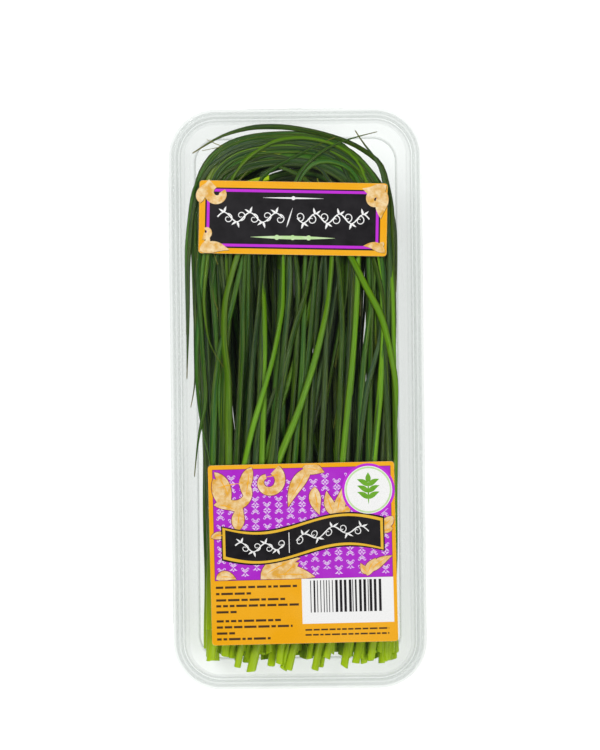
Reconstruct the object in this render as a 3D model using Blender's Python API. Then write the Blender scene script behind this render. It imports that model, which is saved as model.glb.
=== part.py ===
"""A bunch of chives folded once into a clear, hinged herb pack with a hang tab.

The pack is a thin-walled tray and a shallow lid that turns on the fold along its left side.
Two stickers lie on the lid. The leaves are cut level at the foot of the tray, rise at the back,
bend over at the head and come down in front, so each leaf is one long hook.

The origin is the middle of the tray floor's underside, +Y points to the hang tab and +Z to the lid.
"""

import math

import bmesh
import bpy
import numpy as np

MM = 0.001

# Sizes in millimetres.
FILM = 0.4  # wall of the formed sheet
FIT_GAP = 0.3  # between pieces that touch

WELL_HALF_WIDTH = 44.0  # the tray's mouth, at its rim
WELL_HALF_LENGTH = 106.0
WELL_CORNER = 14.0
RIM_WIDTH = 4.0
TRAY_DEPTH = 22.0
WALL_INSET = 4.9  # how far the floor's edge lies inside the mouth
LID_RISE = 4.8
LID_INSET = 2.0
BEAD_HEIGHT = 0.8
BEAD_START = 1.1  # from the mouth's edge
BEAD_WIDTH = 1.2
CORNER_STEPS = 6

TAB_RADIUS = 14.4
TAB_FILLET = 4.5
TAB_OVERLAP = 1.4  # how far the tab's root runs into the rim
HANG_HOLE_RADIUS = 4.5
HANG_HOLE_REACH = 4.5  # the hole's middle, beyond the rim's end

HINGE_OUT = 0.6  # the fold's axis, outside the rim
HINGE_LENGTH = 170.0
HINGE_RADIUS = 0.22

STICKER_THICKNESS = 0.2
STICKER_CORNER = 1.5
UPPER_STICKER = {"size": (71.0, 27.5), "middle": (-1.5, 68.5), "turn": -0.95}
LOWER_STICKER = {"size": (70.5, 68.5), "middle": (2.0, -59.2), "turn": 1.5}

# The leaves: sheets of hooks one above another, and in each sheet hooks one inside another.
SHEETS = 4
HOOKS = 12
SHEET_PITCH = 2.9
RISING_Z = 2.1  # lowest sheet of rising legs
FALLING_Z = 13.8  # lowest sheet of falling legs
HOOK_INNER = 4.0
HOOK_OUTER = 37.0
BEND_Y = 62.0  # the bends' common middle
CUT_Y = -97.0
CUT_JITTER = 2.0
CUT_SPREAD = 35.5
TIP_SPREAD = 35.0
FAN_LENGTH = 160.0
LEAF_RADIUS = 1.15
TIP_RADIUS = 0.4
LEAF_LENGTH = (262.0, 312.0)
LOWEST_TIP = -76.0
LEAF_SIDES = 5
RISING_STEPS = 6
BEND_STEPS = 7
FALLING_STEPS = 4
RAMP_LENGTH = 25.0  # leg over which a hook starts to climb to the front
RAMP_SHARE = 0.25  # part of the climb made on each leg

TONES = ("deep", "green", "deep", "green", "deep", "lime", "green", "deep")  # taken in turn by the leaves

SEED = 11


def clear_scene():
    for obj in list(bpy.data.objects):
        bpy.data.objects.remove(obj, do_unlink=True)


def make_material(name, color, roughness, alpha=1.0):
    material = bpy.data.materials.new(name)
    material.use_nodes = True
    shader = material.node_tree.nodes["Principled BSDF"]
    shader.inputs["Base Color"].default_value = (*color, 1.0)
    shader.inputs["Roughness"].default_value = roughness
    shader.inputs["Metallic"].default_value = 0.0
    shader.inputs["Alpha"].default_value = alpha
    return material


def add_object(name, mesh, material, smooth_angle=40.0):
    mesh.materials.append(material)
    mesh.shade_smooth()
    mesh.set_sharp_from_angle(angle=math.radians(smooth_angle))
    obj = bpy.data.objects.new(name, mesh)
    bpy.context.scene.collection.objects.link(obj)
    return obj


def rounded_loop(half_width, half_length, radius, steps=CORNER_STEPS):
    """Counter-clockwise outline of a rounded rectangle, as an array of x, y in millimetres."""
    corners = ((1, 1, 0), (-1, 1, 90), (-1, -1, 180), (1, -1, 270))
    points = []
    for sign_x, sign_y, start in corners:
        middle_x = sign_x * (half_width - radius)
        middle_y = sign_y * (half_length - radius)
        for step in range(steps + 1):
            angle = math.radians(start + 90 * step / steps)
            points.append((middle_x + radius * math.cos(angle), middle_y + radius * math.sin(angle)))
    return np.array(points)


def offset_profile(profile, distance):
    """Shift a profile of (outward, z) points along its upward normal, mitred at its corners."""
    points = np.array(profile, dtype=float)
    runs = np.diff(points, axis=0)
    runs /= np.linalg.norm(runs, axis=1)[:, None]
    normals = np.stack([-runs[:, 1], runs[:, 0]], axis=1)
    before = np.vstack([normals[:1], normals])
    after = np.vstack([normals, normals[-1:]])
    mitre = before + after
    mitre /= np.linalg.norm(mitre, axis=1)[:, None]
    reach = distance / np.einsum("ij,ij->i", mitre, after)
    return points + mitre * reach[:, None]


def rim_profile():
    """Middle line of the tray's rim, with its raised bead, from the mouth to the edge."""
    top = TRAY_DEPTH - FILM / 2
    bead_end = BEAD_START + BEAD_WIDTH
    return [
        (0.5, top),
        (BEAD_START, top),
        (BEAD_START + 0.2, top + BEAD_HEIGHT),
        (bead_end - 0.2, top + BEAD_HEIGHT),
        (bead_end, top),
        (RIM_WIDTH, top),
    ]


def tray_profile():
    floor = FILM / 2
    return [
        (-WALL_INSET - 0.6, floor),
        (-WALL_INSET + 0.1, floor + 0.35),
        (-WALL_INSET + 0.45, floor + 1.2),
        (-0.5, TRAY_DEPTH - 0.9),
    ] + rim_profile()


def lid_profile():
    rim = offset_profile(rim_profile(), FILM + FIT_GAP)
    face = rim[0][1] + LID_RISE
    dome = [
        (-LID_INSET - 0.9, face),
        (-LID_INSET, face - 0.25),
        (-LID_INSET + 0.4, face - 0.95),
        (-0.6, rim[0][1] + 0.45),
    ]
    return dome + [tuple(point) for point in rim]


def sheet_mesh(name, profile):
    """Closed shell of FILM thickness whose middle surface is the profile carried round the mouth."""
    upper = offset_profile(profile, FILM / 2)
    lower = offset_profile(profile, -FILM / 2)[::-1]
    bm = bmesh.new()
    rings = []
    for outward, z in np.vstack([upper, lower]):
        loop = rounded_loop(WELL_HALF_WIDTH + outward, WELL_HALF_LENGTH + outward, WELL_CORNER + outward)
        rings.append([bm.verts.new((x * MM, y * MM, z * MM)) for x, y in loop])
    for inner, outer in zip(rings, rings[1:]):
        count = len(inner)
        for i in range(count):
            j = (i + 1) % count
            bm.faces.new((inner[i], outer[i], outer[j], inner[j]))
    bm.faces.new(rings[0])
    bm.faces.new(list(reversed(rings[-1])))
    bmesh.ops.recalc_face_normals(bm, faces=bm.faces[:])
    mesh = bpy.data.meshes.new(name)
    bm.to_mesh(mesh)
    bm.free()
    return mesh


def plate_mesh(name, outline, bottom, thickness):
    """A flat plate: the outline, counter-clockwise, extruded up from its bottom height."""
    bm = bmesh.new()
    verts = [bm.verts.new((x * MM, y * MM, bottom * MM)) for x, y in outline]
    base = bm.faces.new(verts)
    raised = bmesh.ops.extrude_face_region(bm, geom=[base])["geom"]
    moved = [item for item in raised if isinstance(item, bmesh.types.BMVert)]
    bmesh.ops.translate(bm, verts=moved, vec=(0.0, 0.0, thickness * MM))
    bmesh.ops.recalc_face_normals(bm, faces=bm.faces[:])
    mesh = bpy.data.meshes.new(name)
    bm.to_mesh(mesh)
    bm.free()
    return mesh


def tab_outline():
    """The hang tab: a round head, straight sides and a hollow fillet down to the rim on each side."""
    rim_end = WELL_HALF_LENGTH + RIM_WIDTH
    head = [math.radians(angle) for angle in range(0, 181, 12)]
    middle_y = rim_end + HANG_HOLE_REACH
    outline = [(TAB_RADIUS * math.cos(a), middle_y + TAB_RADIUS * math.sin(a)) for a in head]
    fillet = [math.radians(angle) for angle in range(0, 91, 18)]
    fillet_x = TAB_RADIUS + TAB_FILLET
    left = [(-fillet_x + TAB_FILLET * math.cos(a), rim_end + TAB_FILLET * (1 - math.sin(a))) for a in fillet]
    root = [(-fillet_x, rim_end - TAB_OVERLAP), (fillet_x, rim_end - TAB_OVERLAP)]
    right = [(-x, y) for x, y in reversed(left)]
    return outline[:-1] + left + root + right[:-1]


def add_cutter(name, mesh):
    cutter = bpy.data.objects.new(name, mesh)
    bpy.context.scene.collection.objects.link(cutter)
    cutter.hide_render = True
    cutter.display_type = "WIRE"
    return cutter


def add_boolean(obj, other, operation):
    modifier = obj.modifiers.new(operation.title(), "BOOLEAN")
    modifier.operation = operation
    modifier.solver = "EXACT"
    modifier.object = other


def make_tray(film):
    tray = add_object("base_tray", sheet_mesh("base_tray", tray_profile()), film)
    bottom = TRAY_DEPTH - FILM
    tab = add_cutter("tab_guide", plate_mesh("tab_guide", tab_outline(), bottom, FILM))
    middle_y = WELL_HALF_LENGTH + RIM_WIDTH + HANG_HOLE_REACH
    turns = [math.radians(angle) for angle in range(0, 360, 15)]
    hole = [(HANG_HOLE_RADIUS * math.cos(a), middle_y + HANG_HOLE_RADIUS * math.sin(a)) for a in turns]
    punch = add_cutter("hole_guide", plate_mesh("hole_guide", hole, bottom - 1.0, FILM + 2.0))
    add_boolean(tab, punch, "DIFFERENCE")
    add_boolean(tray, tab, "UNION")
    return tray


def hinge_place():
    """The fold's axis: x outside the rim's left edge, z halfway between the two sheets."""
    return -(WELL_HALF_WIDTH + RIM_WIDTH + HINGE_OUT), TRAY_DEPTH + FIT_GAP / 2


def make_hinge(film):
    x, z = hinge_place()
    turns = [math.radians(angle) for angle in range(30, 390, 60)]
    bm = bmesh.new()
    ends = []
    for y in (-HINGE_LENGTH / 2, HINGE_LENGTH / 2):
        ring = [(x + HINGE_RADIUS * math.cos(a), y, z + HINGE_RADIUS * math.sin(a)) for a in turns]
        ends.append([bm.verts.new((px * MM, py * MM, pz * MM)) for px, py, pz in ring])
    bmesh.ops.bridge_loops(
        bm,
        edges=[bm.edges.new((ring[i], ring[(i + 1) % len(ring)])) for ring in ends for i in range(len(ring))],
    )
    for ring in ends:
        bm.faces.new(ring)
    bmesh.ops.recalc_face_normals(bm, faces=bm.faces[:])
    mesh = bpy.data.meshes.new("hinge_fold")
    bm.to_mesh(mesh)
    bm.free()
    return add_object("hinge_fold", mesh, film)


def make_lid(film, pivot):
    """The lid's mesh is stored about the fold, so that its empty stands on the joint's axis."""
    mesh = sheet_mesh("lid", lid_profile())
    lid = add_object("lid", mesh, film)
    hang_on(lid, pivot)
    return lid


def hang_on(obj, pivot):
    obj.parent = pivot
    obj.location = -pivot.location


def make_sticker(name, place, material, pivot):
    width, length = place["size"]
    turn = math.radians(place["turn"])
    loop = rounded_loop(width / 2, length / 2, STICKER_CORNER, steps=3)
    rotation = np.array([[math.cos(turn), math.sin(turn)], [-math.sin(turn), math.cos(turn)]])
    outline = loop @ rotation + np.array(place["middle"])
    face = lid_profile()[0][1] + FILM / 2
    sticker = add_object(name, plate_mesh(name, outline, face + FIT_GAP, STICKER_THICKNESS), material)
    hang_on(sticker, pivot)
    return sticker


def smooth(t):
    t = np.clip(t, 0.0, 1.0)
    return t * t * (3.0 - 2.0 * t)


def leg_climb(y):
    """Share of the climb to the front that a leg has made at height y, at most RAMP_SHARE."""
    return RAMP_SHARE * smooth(1.0 - (BEND_Y - y) / RAMP_LENGTH)


def leg_points(y, radius, side, foot_x, z, climb):
    """Points of one leg: side is -1 for the rising leg and +1 for the falling one."""
    lean = smooth((BEND_Y - y) / FAN_LENGTH)
    x = side * radius + (foot_x - side * radius) * lean
    return np.stack([x, y, z - side * climb * leg_climb(y)], axis=1)


def hook_route(sheet, hook, cut_y, length):
    """A leaf's middle line from its cut end, up the left, round the bend and down the right."""
    share = hook / (HOOKS - 1)
    radius = HOOK_INNER + (HOOK_OUTER - HOOK_INNER) * share
    stagger = (sheet / SHEETS - 0.375) * 2 * CUT_SPREAD / HOOKS
    foot_x = CUT_SPREAD * (1 - 2 * share) * 0.96 + stagger
    tip_x = TIP_SPREAD * (2 * share - 1)
    low = RISING_Z + sheet * SHEET_PITCH
    high = FALLING_Z + sheet * SHEET_PITCH
    climb = high - low

    rising = leg_points(np.linspace(cut_y, BEND_Y, RISING_STEPS + 1), radius, -1, foot_x, low, climb)
    turns = np.linspace(0.0, 1.0, BEND_STEPS + 1)
    angle = math.pi * (1.0 - turns)
    height = low + climb * (RAMP_SHARE + (1.0 - 2.0 * RAMP_SHARE) * smooth(turns))
    bend = np.stack([radius * np.cos(angle), BEND_Y + radius * np.sin(angle), height], axis=1)
    tip_y = max(BEND_Y - (length - (BEND_Y - cut_y) - math.pi * radius), LOWEST_TIP)
    falling = leg_points(np.linspace(BEND_Y, tip_y, FALLING_STEPS + 1), radius, 1, tip_x, high, climb)
    return np.vstack([rising[:-1], bend, falling[1:]])


def leaf_mesh(name, route):
    """A tapering five-sided tube round the route, closed at both ends."""
    runs = np.gradient(route, axis=0)
    runs /= np.linalg.norm(runs, axis=1)[:, None]
    front = np.array([0.0, 0.0, 1.0])
    side = np.cross(runs, front)
    side /= np.linalg.norm(side, axis=1)[:, None]
    over = np.cross(side, runs)
    steps = np.linalg.norm(np.diff(route, axis=0), axis=1)
    along = np.concatenate([[0.0], np.cumsum(steps)]) / steps.sum()
    radius = TIP_RADIUS + (LEAF_RADIUS - TIP_RADIUS) * smooth((1.0 - along) / 0.45)
    bm = bmesh.new()
    rings = []
    for i in range(len(route)):
        ring = []
        for k in range(LEAF_SIDES):
            turn = 2 * math.pi * k / LEAF_SIDES
            point = route[i] + radius[i] * (side[i] * math.cos(turn) + over[i] * math.sin(turn))
            ring.append(bm.verts.new(point * MM))
        rings.append(ring)
    for lower, upper in zip(rings, rings[1:]):
        for i in range(LEAF_SIDES):
            j = (i + 1) % LEAF_SIDES
            bm.faces.new((lower[i], lower[j], upper[j], upper[i]))
    bm.faces.new(rings[0])
    bm.faces.new(rings[-1])
    bmesh.ops.recalc_face_normals(bm, faces=bm.faces[:])
    mesh = bpy.data.meshes.new(name)
    bm.to_mesh(mesh)
    bm.free()
    return mesh


def make_leaves(materials):
    draw = np.random.default_rng(SEED)
    shortest, longest = LEAF_LENGTH
    for number in range(SHEETS * HOOKS):
        sheet, hook = divmod(number, HOOKS)
        cut_y = CUT_Y + draw.uniform(-CUT_JITTER, CUT_JITTER)
        length = draw.uniform(shortest, longest)
        name = f"chive_leaf_{number + 1:02d}"
        route = hook_route(sheet, hook, cut_y, length)
        material = materials[TONES[number % len(TONES)]]
        add_object(name, leaf_mesh(name, route), material, smooth_angle=80.0)


def main():
    clear_scene()
    film = make_material("film", (0.86, 0.90, 0.88), 0.08, alpha=0.25)
    sticker = make_material("sticker", (0.86, 0.52, 0.09), 0.35)
    greens = {
        "deep": make_material("leaf_deep", (0.02, 0.09, 0.02), 0.45),
        "green": make_material("leaf_green", (0.05, 0.17, 0.03), 0.45),
        "lime": make_material("leaf_lime", (0.16, 0.38, 0.02), 0.45),
    }
    pivot = bpy.data.objects.new("hinge_axis", None)
    bpy.context.scene.collection.objects.link(pivot)
    hinge_x, hinge_z = hinge_place()
    pivot.location = (hinge_x * MM, 0.0, hinge_z * MM)

    make_tray(film)
    make_hinge(film)
    make_lid(film, pivot)
    make_sticker("upper_sticker", UPPER_STICKER, sticker, pivot)
    make_sticker("lower_sticker", LOWER_STICKER, sticker, pivot)
    make_leaves(greens)


main()
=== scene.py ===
"""Finish for a clear hinged herb pack and the folded bunch of chives that lies in it.

Lengths are in millimetres in the settings and in metres in the meshes. +Y points to the hang tab
and +Z to the lid, as in the frame.
"""

import math

import bmesh
import bpy
import numpy as np
from bpy.props import FloatProperty, FloatVectorProperty, IntProperty, PointerProperty
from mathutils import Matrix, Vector


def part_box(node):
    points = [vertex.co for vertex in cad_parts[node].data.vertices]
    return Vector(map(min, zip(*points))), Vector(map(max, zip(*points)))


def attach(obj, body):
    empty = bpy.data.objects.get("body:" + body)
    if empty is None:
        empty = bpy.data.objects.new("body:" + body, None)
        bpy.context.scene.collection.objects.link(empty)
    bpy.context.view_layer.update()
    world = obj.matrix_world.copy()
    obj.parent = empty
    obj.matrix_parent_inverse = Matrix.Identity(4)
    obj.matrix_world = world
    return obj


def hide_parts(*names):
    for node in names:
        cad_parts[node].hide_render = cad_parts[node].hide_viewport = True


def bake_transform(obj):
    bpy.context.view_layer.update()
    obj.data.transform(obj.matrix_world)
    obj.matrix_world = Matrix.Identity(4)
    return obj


bl_info = {
    "name": "Chive Pack",
    "version": (1, 0, 0),
    "blender": (4, 5, 0),
    "location": "View3D > Sidebar > Chive Pack",
    "description": "Builds a clear hinged herb pack with the folded bunch of chives inside it",
    "category": "Add Mesh",
}

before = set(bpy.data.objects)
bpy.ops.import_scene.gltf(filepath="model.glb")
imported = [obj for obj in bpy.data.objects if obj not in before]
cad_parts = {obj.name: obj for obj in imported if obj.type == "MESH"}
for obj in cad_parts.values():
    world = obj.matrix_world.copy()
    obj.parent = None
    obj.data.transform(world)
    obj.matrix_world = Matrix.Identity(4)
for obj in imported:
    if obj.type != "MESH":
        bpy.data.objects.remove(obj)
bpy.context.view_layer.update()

MM = 0.001

# The pack's formed sheet, in millimetres.
FILM = 0.4
FIT_GAP = 0.3
WELL_HALF_WIDTH = 44.0
WELL_HALF_LENGTH = 106.0
WELL_CORNER = 14.0
RIM_WIDTH = 4.0
TRAY_DEPTH = 22.0
WALL_INSET = 4.9
LID_RISE = 4.8
LID_INSET = 2.0
BEAD_HEIGHT = 0.8
BEAD_START = 1.1
BEAD_WIDTH = 1.2
TAB_RADIUS = 14.4
TAB_FILLET = 4.5
HANG_HOLE_RADIUS = 4.5
HANG_HOLE_REACH = 4.5
HINGE_LENGTH = 170.0
HINGE_FILM_HALF = 0.14

# The hooks that the leaves follow, in millimetres: sheets one above another, hooks side by side.
SHEETS = 4
HOOKS = 12
SHEET_PITCH = 2.9
RISING_Z = 2.1
FALLING_Z = 13.8
HOOK_INNER = 4.0
HOOK_OUTER = 37.0
BEND_Y = 62.0
CUT_Y = -97.0
CUT_JITTER = 2.0
CUT_SPREAD = 35.5
TIP_SPREAD = 35.0
FAN_LENGTH = 160.0
LEAF_LENGTH = (262.0, 312.0)
LOWEST_TIP = -76.0
RAMP_LENGTH = 25.0
RAMP_SHARE = 0.25
SEED = 11
TONES = ("deep", "green", "deep", "green", "deep", "lime", "green", "deep")
LEAF_SIDES = 12
LEAF_SHARP = 60.0

# The stage: the view's middle in millimetres, then places in metres, powers in watts.
VIEW_MIDDLE = (0.95, 9.0)
LAMPS = {
    "key_lamp": ((-0.42, 0.38, 0.95), 7.0),
    "fill_lamp": ((0.50, -0.20, 0.90), 4.6),
}
LAMP_SIDE = 0.5
SKY_STRENGTH = 0.12
FLOOR_HALF = 3.0
FLOOR_DEPTH = 0.02
FLOOR_GAP = 0.0002

# Leaves that lie loose on top of the hooks, each listed from its cut end to its tip:
# tone, half width, then the points of its route in millimetres.
LOOSE_LEAVES = {
    "stray_over_head": ("green", 1.25, [
        (30, -97, 15), (35, -30, 19), (36.5, 30, 23), (36.5, 72, 24.5), (33, 89, 25), (22, 96.5, 25.2),
        (10, 100.5, 25.4), (-3, 103, 25.4), (-16, 103.2, 25.4), (-28, 100, 25.2), (-39.5, 93, 24.8)]),
    "lime_arc": ("lime", 1.15, [
        (-30, -98, 13), (-29, -40, 17), (-27, 20, 20), (-26, 70, 23.5), (-24.7, 83.6, 24.8), (-19, 91, 25.2),
        (-9, 97.6, 25.7), (3, 99.2, 25.7), (15, 96.7, 25.4), (24, 90.5, 25), (28.5, 78, 24.5), (30, 20, 23)]),
    "left_crosser": ("green", 1.1, [
        (-22, -96, 18), (-20, 0, 21), (-18, 60, 24.5), (-14, 83.6, 25.8), (-7, 88, 25.9), (1, 92.2, 25.9),
        (8, 95.8, 25.9), (16.5, 99.3, 25.9)]),
    "long_crosser": ("green", 1.15, [
        (-12, -97, 17), (-10, -20, 21), (-6, 40, 24), (-2.5, 76, 25.5), (2, 87, 25.9), (6.5, 91, 25.9),
        (11, 94.3, 25.9), (17, 97, 25.9), (23, 98.8, 25.9), (31.4, 100.8, 25.5)]),
    "right_riser": ("deep", 1.2, [
        (27, -98, 16), (31, -40, 20), (34, 10, 23), (35.5, 50, 25), (34.5, 76, 25.5), (32.9, 86.7, 25.6),
        (29.8, 91.6, 25.7), (25.6, 96.4, 25.7), (22.8, 101.2, 25.7)]),
    "inner_arc": ("green", 1.1, [
        (-4, -99, 19), (-6, 0, 22), (-3, 60, 24.3), (1, 84, 25.3), (7, 90, 25.6), (14, 90, 25.6),
        (19.5, 88.3, 25.4), (23.5, 84.5, 25.2), (27, 70, 25), (28, 20, 24.2)]),
    "right_sweep": ("lime", 1.3, [
        (-16, 70, 24.6), (4, 77, 25.5), (13, 67, 25.8), (20.7, 53.6, 25.9), (26.2, 42, 25.9),
        (32.2, 31.1, 25.8), (35.6, 16, 25.3), (37.2, 6.4, 24.9), (37.2, -8, 24.5), (36.2, -30, 24)]),
    "right_plumb": ("green", 1.15, [
        (8, -99, 15), (12, -60, 21), (14.6, -23, 25), (16.5, 10, 25.6), (17.1, 28, 25.6), (16.5, 46, 25.6),
        (14, 66, 25.2), (4, 84, 25), (-14, 91, 24.8), (-24, 80, 24.6)]),
    "middle_sweep": ("lime", 1.35, [
        (-24, -100, 15), (-18, -60, 20), (-8, -24, 25), (-0.6, -7, 25.8), (4.4, 7, 25.9), (8, 19, 25.9),
        (11.6, 34.2, 25.9), (13.5, 51.2, 25.8), (13.5, 68, 25.2), (8, 84, 25)]),
    "middle_lean": ("green", 1.25, [
        (-15, -98, 14), (-13.5, -60, 20), (-10.8, -24.6, 24.6), (-7.8, -5, 25.2), (-4.8, 10, 25.4),
        (-1.7, 24.5, 25.4), (3.2, 38.4, 25.2), (7, 60, 24.8), (12, 80, 24.6)]),
    "left_lean": ("lime", 1.15, [
        (-31, -97, 14), (-27, -60, 19), (-20.5, -24.6, 25), (-17.4, -11.3, 25.6), (-12.6, 4, 25.7),
        (-9, 16, 25.7), (-5.4, 33.7, 25.5), (-4.8, 55, 25), (-6, 75, 24.6)]),
    "left_plumb": ("green", 0.95, [
        (-26, -98, 14), (-24.5, -60, 19), (-23.4, -21.4, 25), (-21.9, -2, 25.6), (-20.5, 16, 25.6),
        (-20.5, 33.7, 25.5), (-19, 60, 25), (-14, 85, 24.6), (4, 93, 24.8), (20, 84, 24.6)]),
    "left_broad": ("lime", 1.5, [
        (-25, -98, 13), (-26, -60, 19), (-26.4, -24.4, 25), (-26.2, 10, 25.6), (-27.8, 22, 25.7),
        (-27.2, 37.5, 25.7), (-23, 52.4, 25.6), (-17, 68, 25.2), (-6, 80, 24.8)]),
    "left_outer": ("green", 1.35, [
        (-34.6, -88, 14), (-34, -60, 18), (-32.6, -25, 24), (-31.4, 4, 24.8), (-29.5, 18.5, 25),
        (-24.9, 33.7, 24.8), (-20.5, 52.3, 24.8), (-14, 74, 24.5)]),
    "hanging_edge": ("green", 0.85, [
        (24, -97, 14), (30, 0, 19), (31, 70, 24), (20, 96, 25), (0, 101, 25.2), (-20, 99, 25.2),
        (-32, 93, 25), (-39, 79, 24.8), (-41.6, 58, 24.5), (-41.8, 40, 24.4), (-41.9, 24, 24.4)]),
    "hanging_edge_long": ("deep", 0.95, [
        (19, -99, 15), (27, 0, 20), (27, 68, 24), (16, 93, 25.3), (-4, 98, 25.5), (-22, 95, 25.4),
        (-34, 87, 25.2), (-39.2, 72, 25), (-41, 50, 24.8), (-41.4, 24, 24.6), (-41.9, 8, 24.5)]),
    "hanging_pale": ("deep", 0.8, [
        (12, -98, 14), (20, 0, 19), (21, 66, 23.6), (10, 88, 25), (-10, 93, 25.2), (-28, 86, 25),
        (-36, 70, 24.8), (-38.4, 46, 24.6), (-38.6, 24, 24.6), (-38.8, 5, 24.6), (-40.6, -3, 24.6)]),
    "left_cross_down": ("green", 1.0, [
        (-10, 84, 24.6), (-27, 79, 25.2), (-36, 66, 25.4), (-37.5, 46, 25.4), (-36, 22, 25.4),
        (-34.6, -1, 25.4), (-37.2, -11, 25.3), (-38.4, -19, 25.2), (-39.4, -29, 25.1)]),
    "left_cross_in": ("green", 0.95, [
        (-6, 78, 24.4), (-24, 76, 24.8), (-34, 62, 24.9), (-36.5, 40, 24.9), (-38.2, 18, 24.8),
        (-38, 4, 24.7), (-37, -6, 24.7), (-35.8, -14, 24.7), (-34, -19.2, 24.7), (-33, -30, 24.6)]),
    "left_short": ("green", 0.9, [
        (0, 70, 24.4), (-18, 76, 25.2), (-30, 68, 25.7), (-32.4, 58, 25.8), (-29.4, 50.4, 25.8)]),
    "left_yellow_tip": ("lime", 0.75, [
        (-4, 66, 24.2), (-22, 72, 25), (-32.5, 62, 25.6), (-35.4, 38, 25.8), (-33.8, 22.3, 25.8),
        (-31, 16.6, 25.8), (-27.6, 12, 25.8)]),
    "left_short_inner": ("green", 0.8, [
        (2, 62, 24), (-14, 70, 24.8), (-26, 66, 25.3), (-31, 52, 25.5), (-32.2, 38.5, 25.6),
        (-29.8, 34, 25.6)]),
    "right_long": ("green", 1.2, [
        (33, -97, 14), (34, -60, 19), (34.4, -24.4, 24.4), (33.6, 0, 25.1), (32.9, 28, 25.2),
        (32.2, 40.3, 25.2), (29.2, 53.6, 25.2), (24, 70, 25), (12, 84, 24.8)]),
    "right_edge": ("lime", 1.05, [
        (35, -98, 13), (36.4, -60, 17), (36.9, -15.7, 22.6), (36.6, 14.7, 24.2), (36.4, 40.3, 24.6),
        (34.9, 58.4, 24.8), (31, 76, 24.7), (20, 88, 24.7)]),
    "right_teal": ("deep", 1.2, [
        (18, -98, 14), (20, -60, 19), (22.2, -24.4, 24), (24.5, -8, 24.6), (26.2, 4, 24.6), (31.6, 22, 24.5),
        (34, 45, 24.3), (30, 70, 24.2)]),
    "right_broad": ("lime", 1.3, [
        (24, -100, 15), (26, -60, 20), (28.6, -23.4, 24.8), (31.4, 4, 25.1), (32.9, 26, 25), (32, 50, 24.8),
        (26, 72, 24.6)]),
    "head_tip_left": ("dry", 0.6, [
        (8, 92, 24), (-10, 97, 24.8), (-24, 96.5, 25.2), (-31, 95, 25.4), (-35.4, 94.2, 25.5)]),
    "head_tip_left_low": ("dry", 0.6, [
        (10, 88, 24), (-10, 94, 24.8), (-24, 94.6, 25), (-31.5, 97, 25.2), (-33.5, 98.6, 25.3)]),
    "head_flat": ("deep", 1.0, [
        (-35.5, 60, 23.8), (-35, 80, 24.4), (-29, 92, 24.8), (-17, 98.2, 25), (-2, 100, 25), (12, 98.6, 25),
        (24, 92, 24.8), (32, 80, 24.4), (34, 60, 24)]),
}


# --- settings -----------------------------------------------------------------------------------


def color(name, description, default):
    """A colour setting."""
    return FloatVectorProperty(
        name=name, description=description, subtype="COLOR", size=3, min=0.0, max=1.0, default=default,
    )


def number(name, description, low, high, default, subtype="NONE"):
    """A number setting between two limits."""
    return FloatProperty(
        name=name, description=description, min=low, max=high, default=default, subtype=subtype,
    )


def share(name, description, default, low=0.0):
    """A setting that is a share, at most 1."""
    return number(name, description, low, 1.0, default, "FACTOR")


def card_size(name, description, default):
    """A width and a height in millimetres."""
    return FloatVectorProperty(
        name=name, description=description, size=2, min=10.0, max=90.0, default=default,
    )


def count(name, description, low, high, default):
    """A whole-number setting."""
    return IntProperty(name=name, description=description, min=low, max=high, default=default)


class ChiveFilmSettings(bpy.types.PropertyGroup):
    """Look of the clear formed sheet."""

    # The tint is also the grey painted as shade and sheen along the sheet's folds.
    tint: color("Tint", "Colour that the sheet's edges gather", (0.34, 0.40, 0.37))
    clear: color("Clear", "Share of each colour that one face lets through", (0.962, 0.969, 0.965))
    veil: share("Veil", "Share of the sheet's gloss that shows when it is seen square on", 0.004)
    smear: share("Smear", "Share of the sheet's gloss that shows where it is smeared", 0.012)
    corner_steps: count("Corner steps", "Facets round each rounded corner", 4, 64, 20)


class ChiveLeafSettings(bpy.types.PropertyGroup):
    """Size and colours of the leaves."""

    half_width: number("Half width", "Half the width of a flattened leaf, in millimetres", 0.5, 3.0, 1.45)
    flatness: share("Flatness", "Thickness of a leaf as a share of its width", 0.62, low=0.2)
    wander: number("Wander", "How far a leaf strays sideways from its hook, in millimetres", 0.0, 3.0, 1.1)
    fillers: count("Fillers", "Leaning leaves scattered over the top of the bunch", 0, 40, 18)
    low_fillers: count("Low fillers", "Dark leaves between the layers, where gaps would show", 0, 60, 38)
    # The low fillers are real leaves, but all take the darkest tone so that the gaps between the layers read
    # dark: partly painted shade.
    crown: count("Crown leaves", "Leaves that bend round the outside of the head", 0, 20, 13)
    deep: color("Deep green", "Colour of the darkest leaves", (0.005, 0.024, 0.009))
    green: color("Green", "Colour of most leaves", (0.010, 0.060, 0.005))
    lime: color("Lime", "Colour of the brightest leaves", (0.062, 0.165, 0.002))
    cut_end: color("Cut end", "Colour near the cut ends", (0.440, 0.640, 0.004))


class ChiveStickerSettings(bpy.types.PropertyGroup):
    """Sizes and inks of the two stickers; a turn is counter-clockwise, in degrees."""

    upper_size: card_size("Upper size", "Width and height of the upper sticker, in millimetres", (71.0, 27.5))
    lower_size: card_size("Lower size", "Width and height of the lower sticker, in millimetres", (70.3, 67.9))
    upper_turn: number("Upper turn", "Turn of the upper sticker", -10.0, 10.0, -1.6)
    lower_turn: number("Lower turn", "Turn of the lower sticker", -10.0, 10.0, 0.8)
    gold: color("Gold", "Ink of the borders and the plain panel", (0.95, 0.43, 0.002))
    purple: color("Purple", "Ink of the patterned panel and the frame lines", (0.45, 0.016, 0.62))


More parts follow.
